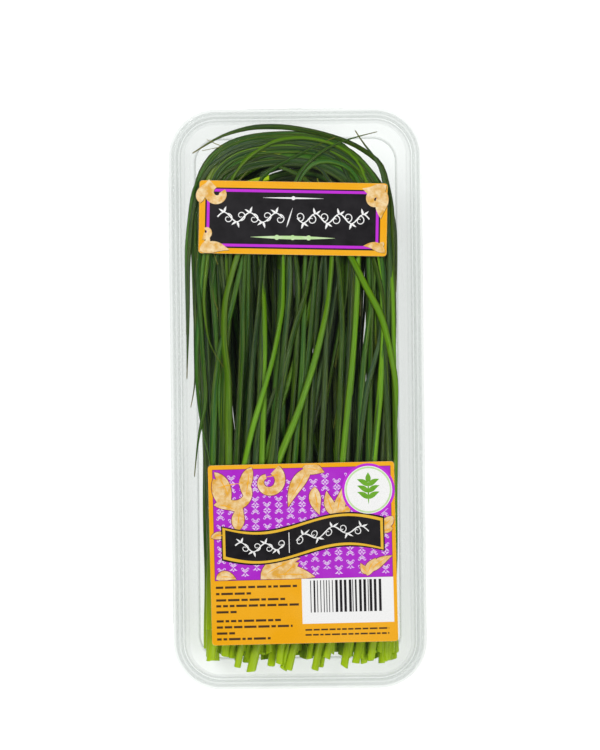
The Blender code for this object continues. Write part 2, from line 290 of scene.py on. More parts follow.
class ChiveStageSettings(bpy.types.PropertyGroup):
    """Camera, lamps and floor."""

    lens: number("Lens", "Focal length of the camera, in millimetres", 20.0, 200.0, 100.0)
    view_height: number("View height", "Length of the view at the rim, in metres", 0.1, 2.0, 0.285)
    lean: number("Lean", "How far the pack leans to the left in the picture, in degrees", -10.0, 10.0, 0.6)
    floor_color: color("Floor", "Colour of the floor", (0.50, 0.50, 0.50))
    floor_glow: number("Floor glow", "Light that the floor gives off, as a light table does", 0.0, 2.0, 0.70)


class ChivePackSettings(bpy.types.PropertyGroup):
    """All settings of the pack."""

    film: PointerProperty(type=ChiveFilmSettings)
    leaf: PointerProperty(type=ChiveLeafSettings)
    sticker: PointerProperty(type=ChiveStickerSettings)
    stage: PointerProperty(type=ChiveStageSettings)


# --- meshes -------------------------------------------------------------------------------------


def grid_quads(rows, columns, start=0):
    """Quads between neighbouring rows of a grid of points whose last column joins its first."""
    row = np.arange(rows - 1)[:, None] * columns
    column = np.arange(columns)[None, :]
    after = (column + 1) % columns
    corners = np.broadcast_arrays(row + column, row + after, row + columns + after, row + columns + column)
    return (np.stack(corners, axis=-1).reshape(-1, 4) + start).tolist()


def pole_triangles(ring_start, columns, pole):
    """A fan of triangles from one ring of points to a single point."""
    column = np.arange(columns)
    corners = [ring_start + column, ring_start + (column + 1) % columns, np.full(columns, pole)]
    return np.stack(corners, axis=-1).tolist()


def add_piece(name, points, faces, material, body, nodes=(), attributes=None, sharp=35.0):
    """Make a closed mesh from points in metres, face it outwards and let it ride on its body.

    A piece without a body is left unattached.
    """
    mesh = bpy.data.meshes.new(name)
    mesh.from_pydata(np.asarray(points).tolist(), [], faces)
    bm = bmesh.new()
    bm.from_mesh(mesh)
    bmesh.ops.recalc_face_normals(bm, faces=bm.faces[:])
    bm.to_mesh(mesh)
    bm.free()
    for key, values in (attributes or {}).items():
        layer = mesh.attributes.new(key, "FLOAT_VECTOR", "POINT")
        layer.data.foreach_set("vector", np.asarray(values, dtype=np.float32).ravel())
    mesh.materials.append(material)
    mesh.shade_smooth()
    mesh.set_sharp_from_angle(angle=math.radians(sharp))
    piece = bpy.data.objects.new(name, mesh)
    bpy.context.scene.collection.objects.link(piece)
    if body:
        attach(piece, body)
    if nodes:
        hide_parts(*nodes)
    return piece


def smooth(t):
    """Ease from 0 to 1: 3t^2 - 2t^3, held outside that range."""
    t = np.clip(t, 0.0, 1.0)
    return t * t * (3.0 - 2.0 * t)


# --- node groups and materials ------------------------------------------------------------------


def put(tree, socket, value):
    """Link a socket given as the value, or set the value itself."""
    if isinstance(value, bpy.types.NodeSocket):
        tree.links.new(value, socket)
    else:
        socket.default_value = value


def feed(tree, node, **inputs):
    """Put values into a node's inputs by name, with an underscore for each space."""
    for key, value in inputs.items():
        put(tree, node.inputs[key.replace("_", " ")], value)
    return node


def add_node(tree, kind, **inputs):
    """Add a node and feed its inputs by name."""
    return feed(tree, tree.nodes.new(kind), **inputs)


def feed_in_order(tree, node, values):
    """Put values into a node's inputs from the first one on, and return its first output."""
    for socket, value in zip(node.inputs, values):
        put(tree, socket, value)
    return node.outputs[0]


def math_node(tree, operation, *values):
    """The result of a math operation on one to three values."""
    node = tree.nodes.new("ShaderNodeMath")
    node.operation = operation
    return feed_in_order(tree, node, values)


def map_range(tree, value, low, high, to_low, to_high):
    """A value carried in a straight line from one range to another and held inside it."""
    return feed_in_order(tree, tree.nodes.new("ShaderNodeMapRange"), (value, low, high, to_low, to_high))


def mix_colors(tree, factor, first, second, blend="MIX"):
    """Two colours blended by a factor; the node keeps these three as its inputs 0, 6 and 7."""
    node = tree.nodes.new("ShaderNodeMix")
    node.data_type = "RGBA"
    node.blend_type = blend
    for index, value in ((0, factor), (6, first), (7, second)):
        put(tree, node.inputs[index], value)
    return node.outputs[2]


def grey_color(tree, level):
    """A grey of the given level."""
    return add_node(tree, "ShaderNodeCombineColor", Red=level, Green=level, Blue=level).outputs[0]


def attribute(tree, name):
    """A node that reads one of the mesh's own attributes."""
    node = tree.nodes.new("ShaderNodeAttribute")
    node.attribute_name = name
    return node


def noise(tree, vector, scale, detail=3.0, roughness=0.5):
    """Cloudy noise from 0 to 1."""
    node = add_node(tree, "ShaderNodeTexNoise", Vector=vector, Scale=scale, Detail=detail)
    return feed(tree, node, Roughness=roughness).outputs["Fac"]


def stretched(tree, vector, scale):
    """A place scaled by axis, so that noise over it is drawn out where the scale is small."""
    return add_node(tree, "ShaderNodeMapping", Vector=vector, Scale=scale).outputs["Vector"]


def new_group(name, inputs, outputs):
    """A shader node group with the named sockets; returns its tree, input node and output node."""
    tree = bpy.data.node_groups.new(name, "ShaderNodeTree")
    for label, kind, default in inputs:
        socket = tree.interface.new_socket(label, in_out="INPUT", socket_type=kind)
        socket.default_value = default
    for label, kind in outputs:
        tree.interface.new_socket(label, in_out="OUTPUT", socket_type=kind)
    return tree, tree.nodes.new("NodeGroupInput"), tree.nodes.new("NodeGroupOutput")


def leaf_skin_group():
    """Skin of a chive leaf: long streaks, waxy bloom, a pale cut end and a dry tip, with painted light and
    shade: lighter on its broad faces, darker along its narrow edges.
    """
    color = "NodeSocketColor"
    number = "NodeSocketFloat"
    tree, given, made = new_group(
        "leaf_skin",
        [
            ("Body", color, (0.03, 0.14, 0.02, 1.0)),
            ("Cut End", color, (0.23, 0.48, 0.01, 1.0)),
            ("Dry Tip", color, (0.30, 0.22, 0.03, 1.0)),
            ("Bloom", number, 0.2),
            ("Streaks", number, 0.5),
        ],
        [("Color", color), ("Roughness", number), ("Height", number)],
    )
    grain = attribute(tree, "grain").outputs["Vector"]
    place = attribute(tree, "place").outputs["Vector"]
    from_foot, from_tip, tone = add_node(tree, "ShaderNodeSeparateXYZ", Vector=place).outputs
    round_leaf = add_node(tree, "ShaderNodeSeparateXYZ", Vector=grain)

    streak = noise(tree, stretched(tree, grain, (1.6, 1.6, 0.22)), 2.4, 4.0, 0.6)
    fine = noise(tree, stretched(tree, grain, (7.0, 7.0, 0.35)), 1.5, 2.0)
    patch = noise(tree, stretched(tree, grain, (0.7, 0.7, 0.9)), 1.0, 3.0, 0.6)

    light = map_range(tree, streak, 0.3, 0.7, 0.62, 1.42)
    contrast = math_node(tree, "SUBTRACT", light, 1.0)
    strength = math_node(tree, "MULTIPLY_ADD", contrast, given.outputs["Streaks"], 1.0)
    # Painted light and shade: the colour is lighter on the leaf's two broad faces and darker along its narrow
    # edges, standing in for soft light from above.
    painted_crest_light = math_node(tree, "POWER", math_node(tree, "ABSOLUTE", round_leaf.outputs["Y"]), 1.5)
    streaks_and_painted_light = math_node(tree, "MULTIPLY", strength, map_range(tree, painted_crest_light, 0.0, 1.0, 0.36, 1.30))
    gain = math_node(tree, "MULTIPLY", streaks_and_painted_light, tone)
    body = mix_colors(tree, 1.0, given.outputs["Body"], grey_color(tree, gain), "MULTIPLY")
    warm = mix_colors(tree, map_range(tree, fine, 0.45, 0.75, 0.0, 0.35), body, given.outputs["Cut End"])
    wax = math_node(tree, "MULTIPLY", map_range(tree, patch, 0.4, 0.75, 0.0, 1.0), given.outputs["Bloom"])
    waxed = mix_colors(tree, wax, warm, (0.050, 0.092, 0.060, 1.0))
    foot = math_node(tree, "POWER", map_range(tree, from_foot, 0.0, 42.0, 1.0, 0.0), 1.5)
    footed = mix_colors(tree, foot, waxed, given.outputs["Cut End"])
    dry = math_node(tree, "MULTIPLY", map_range(tree, from_tip, 0.0, 9.0, 1.0, 0.0), streak)
    skin = mix_colors(tree, dry, footed, given.outputs["Dry Tip"])
    rough = map_range(tree, patch, 0.3, 0.8, 0.26, 0.52)
    ribs = math_node(tree, "MULTIPLY_ADD", fine, 0.6, math_node(tree, "MULTIPLY", streak, 0.4))
    feed(tree, made, Color=skin, Roughness=rough, Height=ribs)
    return tree


def film_haze_group():
    """Faint scuffs and the slow ripple of formed sheet, from a place in metres."""
    number = "NodeSocketFloat"
    tree, given, made = new_group(
        "film_haze",
        [("Smooth", number, 0.05), ("Scuffed", number, 0.22)],
        [("Roughness", number), ("Height", number), ("Smear", number)],
    )
    place = add_node(tree, "ShaderNodeTexCoord").outputs["Object"]
    cloud = noise(tree, stretched(tree, place, (1.0, 0.45, 1.0)), 30.0, 2.0)
    smear = map_range(tree, cloud, 0.5, 0.72, 0.0, 1.0)
    scuff = noise(tree, place, 260.0, 4.0, 0.65)
    ripple = noise(tree, stretched(tree, place, (1.0, 0.35, 1.0)), 42.0, 2.0)
    rough = map_range(tree, scuff, 0.52, 0.78, given.outputs["Smooth"], given.outputs["Scuffed"])
    feed(tree, made, Roughness=rough, Height=ripple, Smear=smear)
    return tree


def print_group():
    """Printed ink: a slight mottle, fine press grain and rubbed specks, from a place in metres."""
    color = "NodeSocketColor"
    number = "NodeSocketFloat"
    tree, given, made = new_group(
        "printed_ink",
        [
            ("Ink", color, (0.8, 0.4, 0.05, 1.0)),
            ("Second", color, (0.9, 0.6, 0.2, 1.0)),
            ("Mottle", number, 0.3),
            ("Size", number, 120.0),
        ],
        [("Color", color), ("Roughness", number), ("Height", number)],
    )
    place = add_node(tree, "ShaderNodeTexCoord").outputs["Object"]
    cloud = noise(tree, place, given.outputs["Size"], 3.0, 0.55)
    grain = noise(tree, place, 2600.0, 2.0)
    share = math_node(tree, "MULTIPLY", map_range(tree, cloud, 0.35, 0.7, 0.0, 1.0), given.outputs["Mottle"])
    tinted = mix_colors(tree, share, given.outputs["Ink"], given.outputs["Second"])
    speck = map_range(tree, grain, 0.3, 0.7, 0.93, 1.05)
    printed = mix_colors(tree, 1.0, tinted, grey_color(tree, speck), "MULTIPLY")
    feed(tree, made, Color=printed, Roughness=map_range(tree, cloud, 0.2, 0.8, 0.30, 0.46), Height=grain)
    return tree


def new_material(name):
    """An empty node material; returns it, its tree and its output node."""
    material = bpy.data.materials.new(name)
    material.use_nodes = True
    tree = material.node_tree
    tree.nodes.clear()
    return material, tree, tree.nodes.new("ShaderNodeOutputMaterial")


def place_group(tree, name, build, **inputs):
    """Place a shared group, built when it is first asked for, and feed its inputs."""
    node = tree.nodes.new("ShaderNodeGroup")
    node.node_tree = bpy.data.node_groups.get(name) or build()
    return feed(tree, node, **inputs)


def bump(tree, height, strength, distance):
    """The normal of a surface raised by a height of 0 to 1, over a distance in metres."""
    node = add_node(tree, "ShaderNodeBump", Height=height, Strength=strength, Distance=distance)
    return node.outputs["Normal"]


def leaf_material(tone, settings):
    """Leaf skin in one of the tones; made once for each."""
    name = f"chive_{tone}"
    if name in bpy.data.materials:
        return bpy.data.materials[name]
    bodies = {
        "deep": (settings.deep, 0.34, 0.9),
        "green": (settings.green, 0.10, 0.9),
        "lime": (settings.lime, 0.05, 0.8),
        "dry": ((0.16, 0.17, 0.03), 0.1, 0.9),
    }
    body, bloom, streaks = bodies[tone]
    material, tree, output = new_material(name)
    skin = place_group(
        tree, "leaf_skin", leaf_skin_group, Body=(*body, 1.0), Cut_End=(*settings.cut_end, 1.0),
        Bloom=bloom, Streaks=streaks,
    )
    shader = add_node(
        tree, "ShaderNodeBsdfPrincipled", Base_Color=skin.outputs["Color"],
        Roughness=skin.outputs["Roughness"], Normal=bump(tree, skin.outputs["Height"], 0.35, 0.0003),
        Specular_IOR_Level=0.2,
    )
    feed(tree, output, Surface=shader.outputs[0])
    return material


def film_material(settings):
    """Clear sheet: dims what is behind it a little, turns grey and glossy towards its edges, and has grey
    lines of painted shade and sheen along its folds.
    """
    if "clear_film" in bpy.data.materials:
        return bpy.data.materials["clear_film"]
    material, tree, output = new_material("clear_film")
    haze = place_group(tree, "film_haze", film_haze_group)
    gloss = add_node(
        tree, "ShaderNodeBsdfPrincipled", Base_Color=(*settings.tint, 1.0),
        Roughness=haze.outputs["Roughness"], IOR=1.57,
        Normal=bump(tree, haze.outputs["Height"], 0.12, 0.0006),
    )
    clear = add_node(tree, "ShaderNodeBsdfTransparent", Color=(*settings.clear, 1.0))
    facing = add_node(tree, "ShaderNodeLayerWeight", Blend=0.5)
    # Painted shade and sheen: grey lines along the sheet's folds, read from a mark on the mesh.
    painted_crease_shade = attribute(tree, "painted_fold_shade").outputs["Fac"]
    line = math_node(tree, "MULTIPLY", math_node(tree, "POWER", painted_crease_shade, 1.4), 0.28)
    edge = math_node(tree, "ADD", math_node(tree, "POWER", facing.outputs["Facing"], 8.0), line)
    veil = map_range(tree, haze.outputs["Smear"], 0.0, 1.0, settings.veil, settings.smear)
    amount = math_node(tree, "ADD", math_node(tree, "MULTIPLY", edge, 0.6), veil)
    mix = tree.nodes.new("ShaderNodeMixShader")
    feed(tree, output, Surface=feed_in_order(tree, mix, (amount, clear.outputs[0], gloss.outputs[0])))
    return material


def ink_material(name, ink, second, mottle, size):
    """A printed ink on gloss paper."""
    if name in bpy.data.materials:
        return bpy.data.materials[name]
    material, tree, output = new_material(name)
    printed = place_group(
        tree, "printed_ink", print_group, Ink=(*ink, 1.0), Second=(*second, 1.0),
        Mottle=mottle, Size=size,
    )
    shader = add_node(
        tree, "ShaderNodeBsdfPrincipled", Base_Color=printed.outputs["Color"],
        Roughness=printed.outputs["Roughness"], Normal=bump(tree, printed.outputs["Height"], 0.05, 0.00003),
        Specular_IOR_Level=0.2,
    )
    feed(tree, output, Surface=shader.outputs[0])
    return material


# --- the formed sheet ---------------------------------------------------------------------------


def rounded_loops(half_widths, half_lengths, radii, steps):
    """Outlines of rounded rectangles, one row each: four corner arcs joined by straight sides."""
    quarter = np.arange(4)[:, None] * 90.0 + np.linspace(0.0, 90.0, steps + 1)[None, :]
    angle = np.radians(quarter).ravel()
    sign_x = np.repeat([1, -1, -1, 1], steps + 1)
    sign_y = np.repeat([1, 1, -1, -1], steps + 1)
    x = sign_x * (half_widths - radii)[:, None] + radii[:, None] * np.cos(angle)
    y = sign_y * (half_lengths - radii)[:, None] + radii[:, None] * np.sin(angle)
    return np.stack([x, y], axis=-1)


def rounded_profile(points, rounds=2):
    """Soften a profile's corners by cutting each run at a fifth and four fifths, several times over."""
    line = np.array(points, dtype=float)
    for _ in range(rounds):
        near = line[:-1] * 0.8 + line[1:] * 0.2
        far = line[:-1] * 0.2 + line[1:] * 0.8
        cut = np.stack([near, far], axis=1).reshape(-1, 2)
        line = np.vstack([line[:1], cut, line[-1:]])
    return line


def offset_profile(profile, distance):
    """Shift a profile of (outward, z) points along its upward normal, mitred at its corners."""
    points = np.array(profile, dtype=float)
    runs = np.diff(points, axis=0)
    runs /= np.linalg.norm(runs, axis=1)[:, None]
    normals = np.stack([-runs[:, 1], runs[:, 0]], axis=1)
    before = np.vstack([normals[:1], normals])
    after = np.vstack([normals, normals[-1:]])
    mitre = before + after
    mitre /= np.linalg.norm(mitre, axis=1)[:, None]
    reach = distance / np.einsum("ij,ij->i", mitre, after)
    return points + mitre * reach[:, None]


def rim_profile():
    """Middle line of the tray's rim, with its raised bead, from the mouth to the edge."""
    top = TRAY_DEPTH - FILM / 2
    bead_end = BEAD_START + BEAD_WIDTH
    return [
        (0.5, top),
        (BEAD_START, top),
        (BEAD_START + 0.2, top + BEAD_HEIGHT),
        (bead_end - 0.2, top + BEAD_HEIGHT),
        (bead_end, top),
        (RIM_WIDTH, top),
    ]


def tray_profile():
    """Middle line of the tray's sheet, from the floor's edge up the wall and over the rim."""
    floor = FILM / 2
    return [
        (-WALL_INSET - 0.6, floor),
        (-WALL_INSET + 0.1, floor + 0.35),
        (-WALL_INSET + 0.45, floor + 1.2),
        (-0.5, TRAY_DEPTH - 0.9),
    ] + rim_profile()


def lid_profile():
    """Middle line of the lid's sheet, which nests over the tray's rim with a gap to spare."""
    rim = offset_profile(rim_profile(), FILM + FIT_GAP)
    face = rim[0][1] + LID_RISE
    dome = [
        (-LID_INSET - 0.9, face),
        (-LID_INSET, face - 0.25),
        (-LID_INSET + 0.4, face - 0.95),
        (-0.6, rim[0][1] + 0.45),
    ]
    return dome + [tuple(point) for point in rim]


def formed_sheet(profile, steps):
    """A shell of even thickness: the profile's offset lines carried round the mouth's outline.

    The third result marks how sharply the profile turns at each point, from 0 to 1, and more where
    the floor's edge is drawn deep; the sheet's material paints a grey line of shade and sheen there.
    It is 0 on the rows that end in a flat cap.
    """
    line = rounded_profile(profile)
    edges = np.vstack([offset_profile(line, FILM / 2), offset_profile(line, -FILM / 2)[::-1]])
    outward = edges[:, 0]
    before = np.diff(edges, axis=0, prepend=edges[-1:])
    after = np.roll(before, -1, axis=0)
    heading = np.arctan2(before[:, 1], before[:, 0]) - np.arctan2(after[:, 1], after[:, 0])
    turn = np.abs((heading + math.pi) % (2 * math.pi) - math.pi)
    # Painted shade and sheen: the sharper the profile turns, the stronger the grey line painted there.
    painted_fold_shade = np.clip(turn / math.radians(22.0), 0.0, 1.0)
    painted_fold_shade *= np.where(edges[:, 1] < 3.0, 2.8, 1.0)
    painted_fold_shade[[0, -1]] = 0.0
    loops = rounded_loops(WELL_HALF_WIDTH + outward, WELL_HALF_LENGTH + outward, WELL_CORNER + outward, steps)
    rows, columns = loops.shape[:2]
    height = np.broadcast_to(edges[:, 1:2, None], (rows, columns, 1))
    points = np.concatenate([loops, height], axis=2).reshape(-1, 3) * MM
    faces = grid_quads(rows, columns)
    faces.append(list(range(columns)))
    faces.append(list(range((rows - 1) * columns, rows * columns)))
    marks = np.repeat(painted_fold_shade, columns)[:, None] * [1.0, 1.0, 1.0]
    return points, faces, marks


def arc(center, radius, start, end, count):
    """Points on a circle from one angle to another, in degrees."""
    angle = np.radians(np.linspace(start, end, count))
    return np.stack([center[0] + radius * np.cos(angle), center[1] + radius * np.sin(angle)], axis=1)


def hang_tab(start):
    """The tab as a flat ring: each outline point is paired with the hole's point in its direction."""
    rim_end = WELL_HALF_LENGTH + RIM_WIDTH
    middle = np.array([0.0, rim_end + HANG_HOLE_REACH])
    fillet_x = TAB_RADIUS + TAB_FILLET
    head = arc(middle, TAB_RADIUS, 0, 180, 33)
    left = arc((-fillet_x, rim_end + TAB_FILLET), TAB_FILLET, 0, -90, 10)
    root = np.stack([np.linspace(-fillet_x, fillet_x, 14)[1:-1], np.full(12, rim_end)], axis=1)
    right = left[::-1] * [-1, 1]
    outline = np.vstack([head, left, root, right])
    outline = outline[np.linalg.norm(outline - np.roll(outline, 1, axis=0), axis=1) > 1e-6]
    away = outline - middle
    hole = middle + HANG_HOLE_RADIUS * away / np.linalg.norm(away, axis=1)[:, None]
    inset = outline - 0.45 * away / np.linalg.norm(away, axis=1)[:, None]
    bottom = TRAY_DEPTH - FILM
    rows = [(hole, bottom + FILM), (inset, bottom + FILM), (outline, bottom + FILM * 0.75)]
    rows += [(outline, bottom + FILM * 0.25), (inset, bottom), (hole, bottom)]
    columns = len(outline)
    points = np.vstack([np.column_stack([line, np.full(columns, z)]) for line, z in rows]) * MM
    faces = grid_quads(len(rows), columns, start)
    last = start + (len(rows) - 1) * columns
    column = np.arange(columns)
    after = (column + 1) % columns
    bridge = np.stack([last + column, last + after, start + after, start + column], axis=1)
    # Painted shade and sheen along the tab's outer edge and round the rim of its hole.
    edge = np.repeat([0.35, 0.0, 0.9, 0.9, 0.0, 0.35], columns)[:, None] * [1.0, 1.0, 1.0]
    return points, faces + bridge.tolist(), edge


# --- leaves -------------------------------------------------------------------------------------


def leg_climb(y):
    """Share of the climb to the front that a leg has made at height y, at most RAMP_SHARE."""
    return RAMP_SHARE * smooth(1.0 - (BEND_Y - y) / RAMP_LENGTH)


def leg_points(y, radius, side, foot_x, z, climb):
    """Points of one leg: side is -1 for the rising leg and +1 for the falling one."""
    lean = smooth((BEND_Y - y) / FAN_LENGTH)
    x = side * radius + (foot_x - side * radius) * lean
    return np.stack([x, y, z - side * climb * leg_climb(y)], axis=1)


def hook_route(sheet, hook, cut_y, length):
    """A leaf's middle line from its cut end, up the left, round the bend and down the right."""
    share = hook / (HOOKS - 1)
    radius = HOOK_INNER + (HOOK_OUTER - HOOK_INNER) * share
    stagger = (sheet / SHEETS - 0.375) * 2 * CUT_SPREAD / HOOKS
    foot_x = CUT_SPREAD * (1 - 2 * share) * 0.96 + stagger
    tip_x = TIP_SPREAD * (2 * share - 1)
    low = RISING_Z + sheet * SHEET_PITCH
    high = FALLING_Z + sheet * SHEET_PITCH
    climb = high - low

    rising = leg_points(np.linspace(cut_y, BEND_Y, 60), radius, -1, foot_x, low, climb)
    turns = np.linspace(0.0, 1.0, 48)
    angle = math.pi * (1.0 - turns)
    height = low + climb * (RAMP_SHARE + (1.0 - 2.0 * RAMP_SHARE) * smooth(turns))
    bend = np.stack([radius * np.cos(angle), BEND_Y + radius * np.sin(angle), height], axis=1)
    tip_y = max(BEND_Y - (length - (BEND_Y - cut_y) - math.pi * radius), LOWEST_TIP)
    falling = leg_points(np.linspace(BEND_Y, tip_y, 50), radius, 1, tip_x, high, climb)
    return np.vstack([rising[:-1], bend, falling[1:]])


def even_route(points, soften=0.0, spacing=3.2):
    """Stations at even spacing along a line of points, rounded by a running bell-shaped average."""
    points = np.asarray(points, dtype=float)
    reach = np.concatenate([[0.0], np.cumsum(np.linalg.norm(np.diff(points, axis=0), axis=1))])
    fine = np.arange(0.0, reach[-1], 1.0)
    line = np.stack([np.interp(fine, reach, points[:, axis]) for axis in range(3)], axis=1)
    if soften:
        half = int(soften * 2.5)
        weights = np.exp(-0.5 * (np.arange(-half, half + 1) / soften) ** 2)
        weights /= weights.sum()
        before = 2 * line[0] - line[half:0:-1]
        after = 2 * line[-1] - line[-2:-half - 2:-1]
        padded = np.vstack([before, line, after])
        line = np.stack([np.convolve(padded[:, axis], weights, mode="valid") for axis in range(3)], axis=1)
    count = max(int(reach[-1] / spacing), 8)
    picks = np.linspace(0, len(line) - 1, count)
    return np.stack([np.interp(picks, np.arange(len(line)), line[:, axis]) for axis in range(3)], axis=1)


def wander_route(route, amount, draw):
    """Bend a route sideways and up by two slow sine waves, which fade out towards the cut end."""
    along = np.linspace(0.0, 1.0, len(route))
    run = np.gradient(route, axis=0)
    side = np.stack([run[:, 1], -run[:, 0], np.zeros(len(run))], axis=1)
    side /= np.linalg.norm(side, axis=1)[:, None]
    first, second = draw.uniform(0.0, 2 * math.pi, 2)
    wave = 0.6 * np.sin(2 * math.pi * 1.7 * along + first) + 0.4 * np.sin(2 * math.pi * 3.9 * along + second)
    ease = smooth(along / 0.12)
    moved = route + side * (amount * wave * ease)[:, None]
    moved[:, 2] += 0.3 * amount * np.cos(2 * math.pi * 2.3 * along + second) * ease
    return moved


def leaf_shell(route, half_width, flatness, draw):
    """A leaf as a surface of two parameters: distance along the route and angle round it.

    The section is an ellipse with a shallow furrow on its flat sides. It turns slowly about the
    route and tapers to the tip, and the foot is cut across at a slant and runs back into itself
    as a short hollow.
    """
    run = np.gradient(route, axis=0)
    run /= np.linalg.norm(run, axis=1)[:, None]
    side = np.cross(run, [0.0, 0.0, 1.0])
    side /= np.linalg.norm(side, axis=1)[:, None]
    over = np.cross(side, run)
    steps = np.linalg.norm(np.diff(route, axis=0), axis=1)
    from_foot = np.concatenate([[0.0], np.cumsum(steps)])
    length = from_foot[-1]
    along = from_foot / length

    to_tip = length - from_foot
    width = half_width * (1.0 + 0.12 * smooth(1.0 - from_foot / 30.0))
    width *= 1.0 - 0.25 * smooth((along - 0.3) / 0.7)
    width *= 0.20 + 0.80 * smooth((to_tip + 6.0) / 40.0)
    width *= 1.0 + 0.05 * np.sin(2 * math.pi * 5.0 * along + draw.uniform(0, 6.3))
    depth = width * (flatness + (0.85 - flatness) * smooth(1.0 - along / 0.06))
    start_turn = draw.uniform(-0.5, 0.5)
    twists = draw.uniform(0.6, 1.6)
    turn = start_turn + 0.55 * np.sin(2 * math.pi * twists * along + draw.uniform(0, 6.3))

    angle = np.linspace(0.0, 2 * math.pi, LEAF_SIDES, endpoint=False)
    furrow = 1.0 - 0.22 * np.exp(-((np.cos(angle) / 0.45) ** 2))
    across = width[:, None] * np.cos(angle)
    up = depth[:, None] * np.sin(angle) * furrow
    flat = across * np.cos(turn)[:, None] - up * np.sin(turn)[:, None]
    tall = across * np.sin(turn)[:, None] + up * np.cos(turn)[:, None]
    skin = route[:, None] + side[:, None] * flat[..., None] + over[:, None] * tall[..., None]

    slant = draw.uniform(-0.5, 0.5) * across[0] + draw.uniform(-0.25, 0.25) * up[0]
    skin[0] += run[0] * slant[:, None]
    around = np.broadcast_arrays(np.cos(angle)[None], np.sin(angle)[None], 0.1 * from_foot[:, None])
    grain = np.stack(around, axis=-1) + [0.0, 0.0, draw.uniform(0.0, 500.0)]
    tone = np.full(len(route), draw.uniform(0.55, 1.75))
    place = np.stack([from_foot, length - from_foot, tone], axis=1)
    place = np.repeat(place[:, None], LEAF_SIDES, axis=1)

    lip = route[0] + 0.62 * (skin[0] - route[0])
    grid = np.concatenate([(lip + 2.5 * run[0])[None], lip[None], skin])
    grain = np.concatenate([grain[:1], grain[:1], grain])
    place = np.concatenate([place[:1], place[:1], place])
    poles = np.stack([grid[0].mean(axis=0), route[-1] + 0.4 * run[-1]])
    points = np.vstack([grid.reshape(-1, 3), poles]) * MM
    pole = len(grid) * LEAF_SIDES
    faces = grid_quads(len(grid), LEAF_SIDES)
    faces += pole_triangles(0, LEAF_SIDES, pole)
    faces += pole_triangles(pole - LEAF_SIDES, LEAF_SIDES, pole + 1)
    ends = [grain.reshape(-1, 3), grain[0, :1], grain[-1, :1]]
    marks = [place.reshape(-1, 3), place[0, :1], place[-1, :1]]
    return points, faces, {"grain": np.vstack(ends), "place": np.vstack(marks)}


def add_leaves(name, tone, leaf, shell, nodes=()):
    """Add a shell of one or more leaves to the base."""
    points, faces, marks = shell
    add_piece(name, points, faces, leaf_material(tone, leaf), "base", nodes, marks, LEAF_SHARP)


def joined(shells):
    """Several shells as one mesh that keeps their marks."""
    faces, start = [], 0
    for points, part, _ in shells:
        faces += [[start + corner for corner in face] for face in part]
        start += len(points)
    marks = {key: np.vstack([part[key] for _, _, part in shells]) for key in shells[0][2]}
    return np.vstack([points for points, _, _ in shells]), faces, marks


def filler_route(number, count, draw):
    """A leaning leaf: up from the foot on a slant to the right, ending under the upper sticker."""
    foot_x = -32.0 + 64.0 * (number + draw.uniform(0.1, 0.9)) / count
    lean = draw.uniform(2.0, 13.0)
    high = draw.uniform(23.9, 25.2)
    head = np.clip(foot_x + lean, -33.0, 33.0)
    sway = draw.uniform(-3.0, 3.0)
    bend = draw.uniform(-14.0, 14.0)
    return [
        (foot_x - draw.uniform(2.0, 6.5), draw.uniform(-103.5, -97.5), draw.uniform(15.0, 21.0)),
        (foot_x, -83.0, 20.5),
        (foot_x + 0.15 * lean, -62.0, 21.5),
        (foot_x + 0.35 * lean + 0.4 * sway, -26.0, high),
        (foot_x + 0.65 * lean + sway, 14.0, high),
        (head, 52.0, high),
        (np.clip(head + 0.5 * bend, -30.0, 30.0), 76.0, high - 0.4),
    ]


def low_filler_route(number, count, draw):
    """A nearly upright leaf inside the bunch."""
    x = -35.5 + 71.5 * (number + draw.uniform(0.2, 0.8)) / count
    lean = draw.uniform(-2.0, 2.0)
    high = 9.5 + 2.6 * (number % 2) + draw.uniform(-0.5, 0.5)
    return [
        (x, draw.uniform(-101.0, -96.0), high - 2.0),
        (x + 0.3 * lean, -40.0, high),
        (np.clip(x + lean, -36.5, 36.5), 10.0, high),
        (np.clip(x + 0.4 * lean, -36.5, 36.5), 62.0, high),
        (np.clip(0.9 * x, -33.0, 33.0), 86.0 - 0.008 * x * x, high),
    ]


def crown_route(number, count, draw):
    """Round the head on a squared arch: |x/r|^p + |y/h|^p = 1, with its foot down the right side.

    The arch is squarer on the left than on the right.
    """
    share = (number + draw.uniform(0.2, 0.8)) / count
    left_half, right_half = 29.0 + 10.5 * share, 28.0 + 8.0 * share
    height = 27.0 + 12.0 * share
    angle = math.pi * np.linspace(0.0, 1.0, 25)
    power = 2.0 / np.interp(angle, [1.3, 1.9], [draw.uniform(2.0, 2.4), draw.uniform(2.6, 4.0)])
    half = np.where(angle < math.pi / 2, right_half, left_half)
    x = half * np.sign(np.cos(angle)) * np.abs(np.cos(angle)) ** power
    y = BEND_Y + height * np.sin(angle) ** power
    z = 23.4 + 1.6 * np.sin(angle) + draw.uniform(-0.4, 0.3)
    arch = np.stack([x, y, z], axis=1)
    foot_x = draw.uniform(24.0, 35.0)
    foot = [(foot_x, draw.uniform(-102.0, -97.0), 14.0), (0.4 * foot_x + 0.6 * right_half, -20.0, 20.0)]
    tip_y = draw.uniform(-30.0, 45.0)
    tip_x = max(draw.uniform(-1.5, 5.0) - left_half, -41.0)
    tip = [(0.5 * (tip_x - left_half), 0.5 * (BEND_Y + tip_y), 24.0), (tip_x, tip_y, 24.0)]
    return np.vstack([foot, arch, tip])


# --- flat printed shapes ------------------------------------------------------------------------


def band(line, half_width):
    """A flat band: points to either side of a line, at half its width along the line's normal."""
    line = np.asarray(line, dtype=float)
    run = np.gradient(line, axis=0)
    run /= np.linalg.norm(run, axis=1)[:, None]
    reach = np.stack([-run[:, 1], run[:, 0]], axis=1) * np.broadcast_to(half_width, len(line))[:, None]
    return line + reach, line - reach


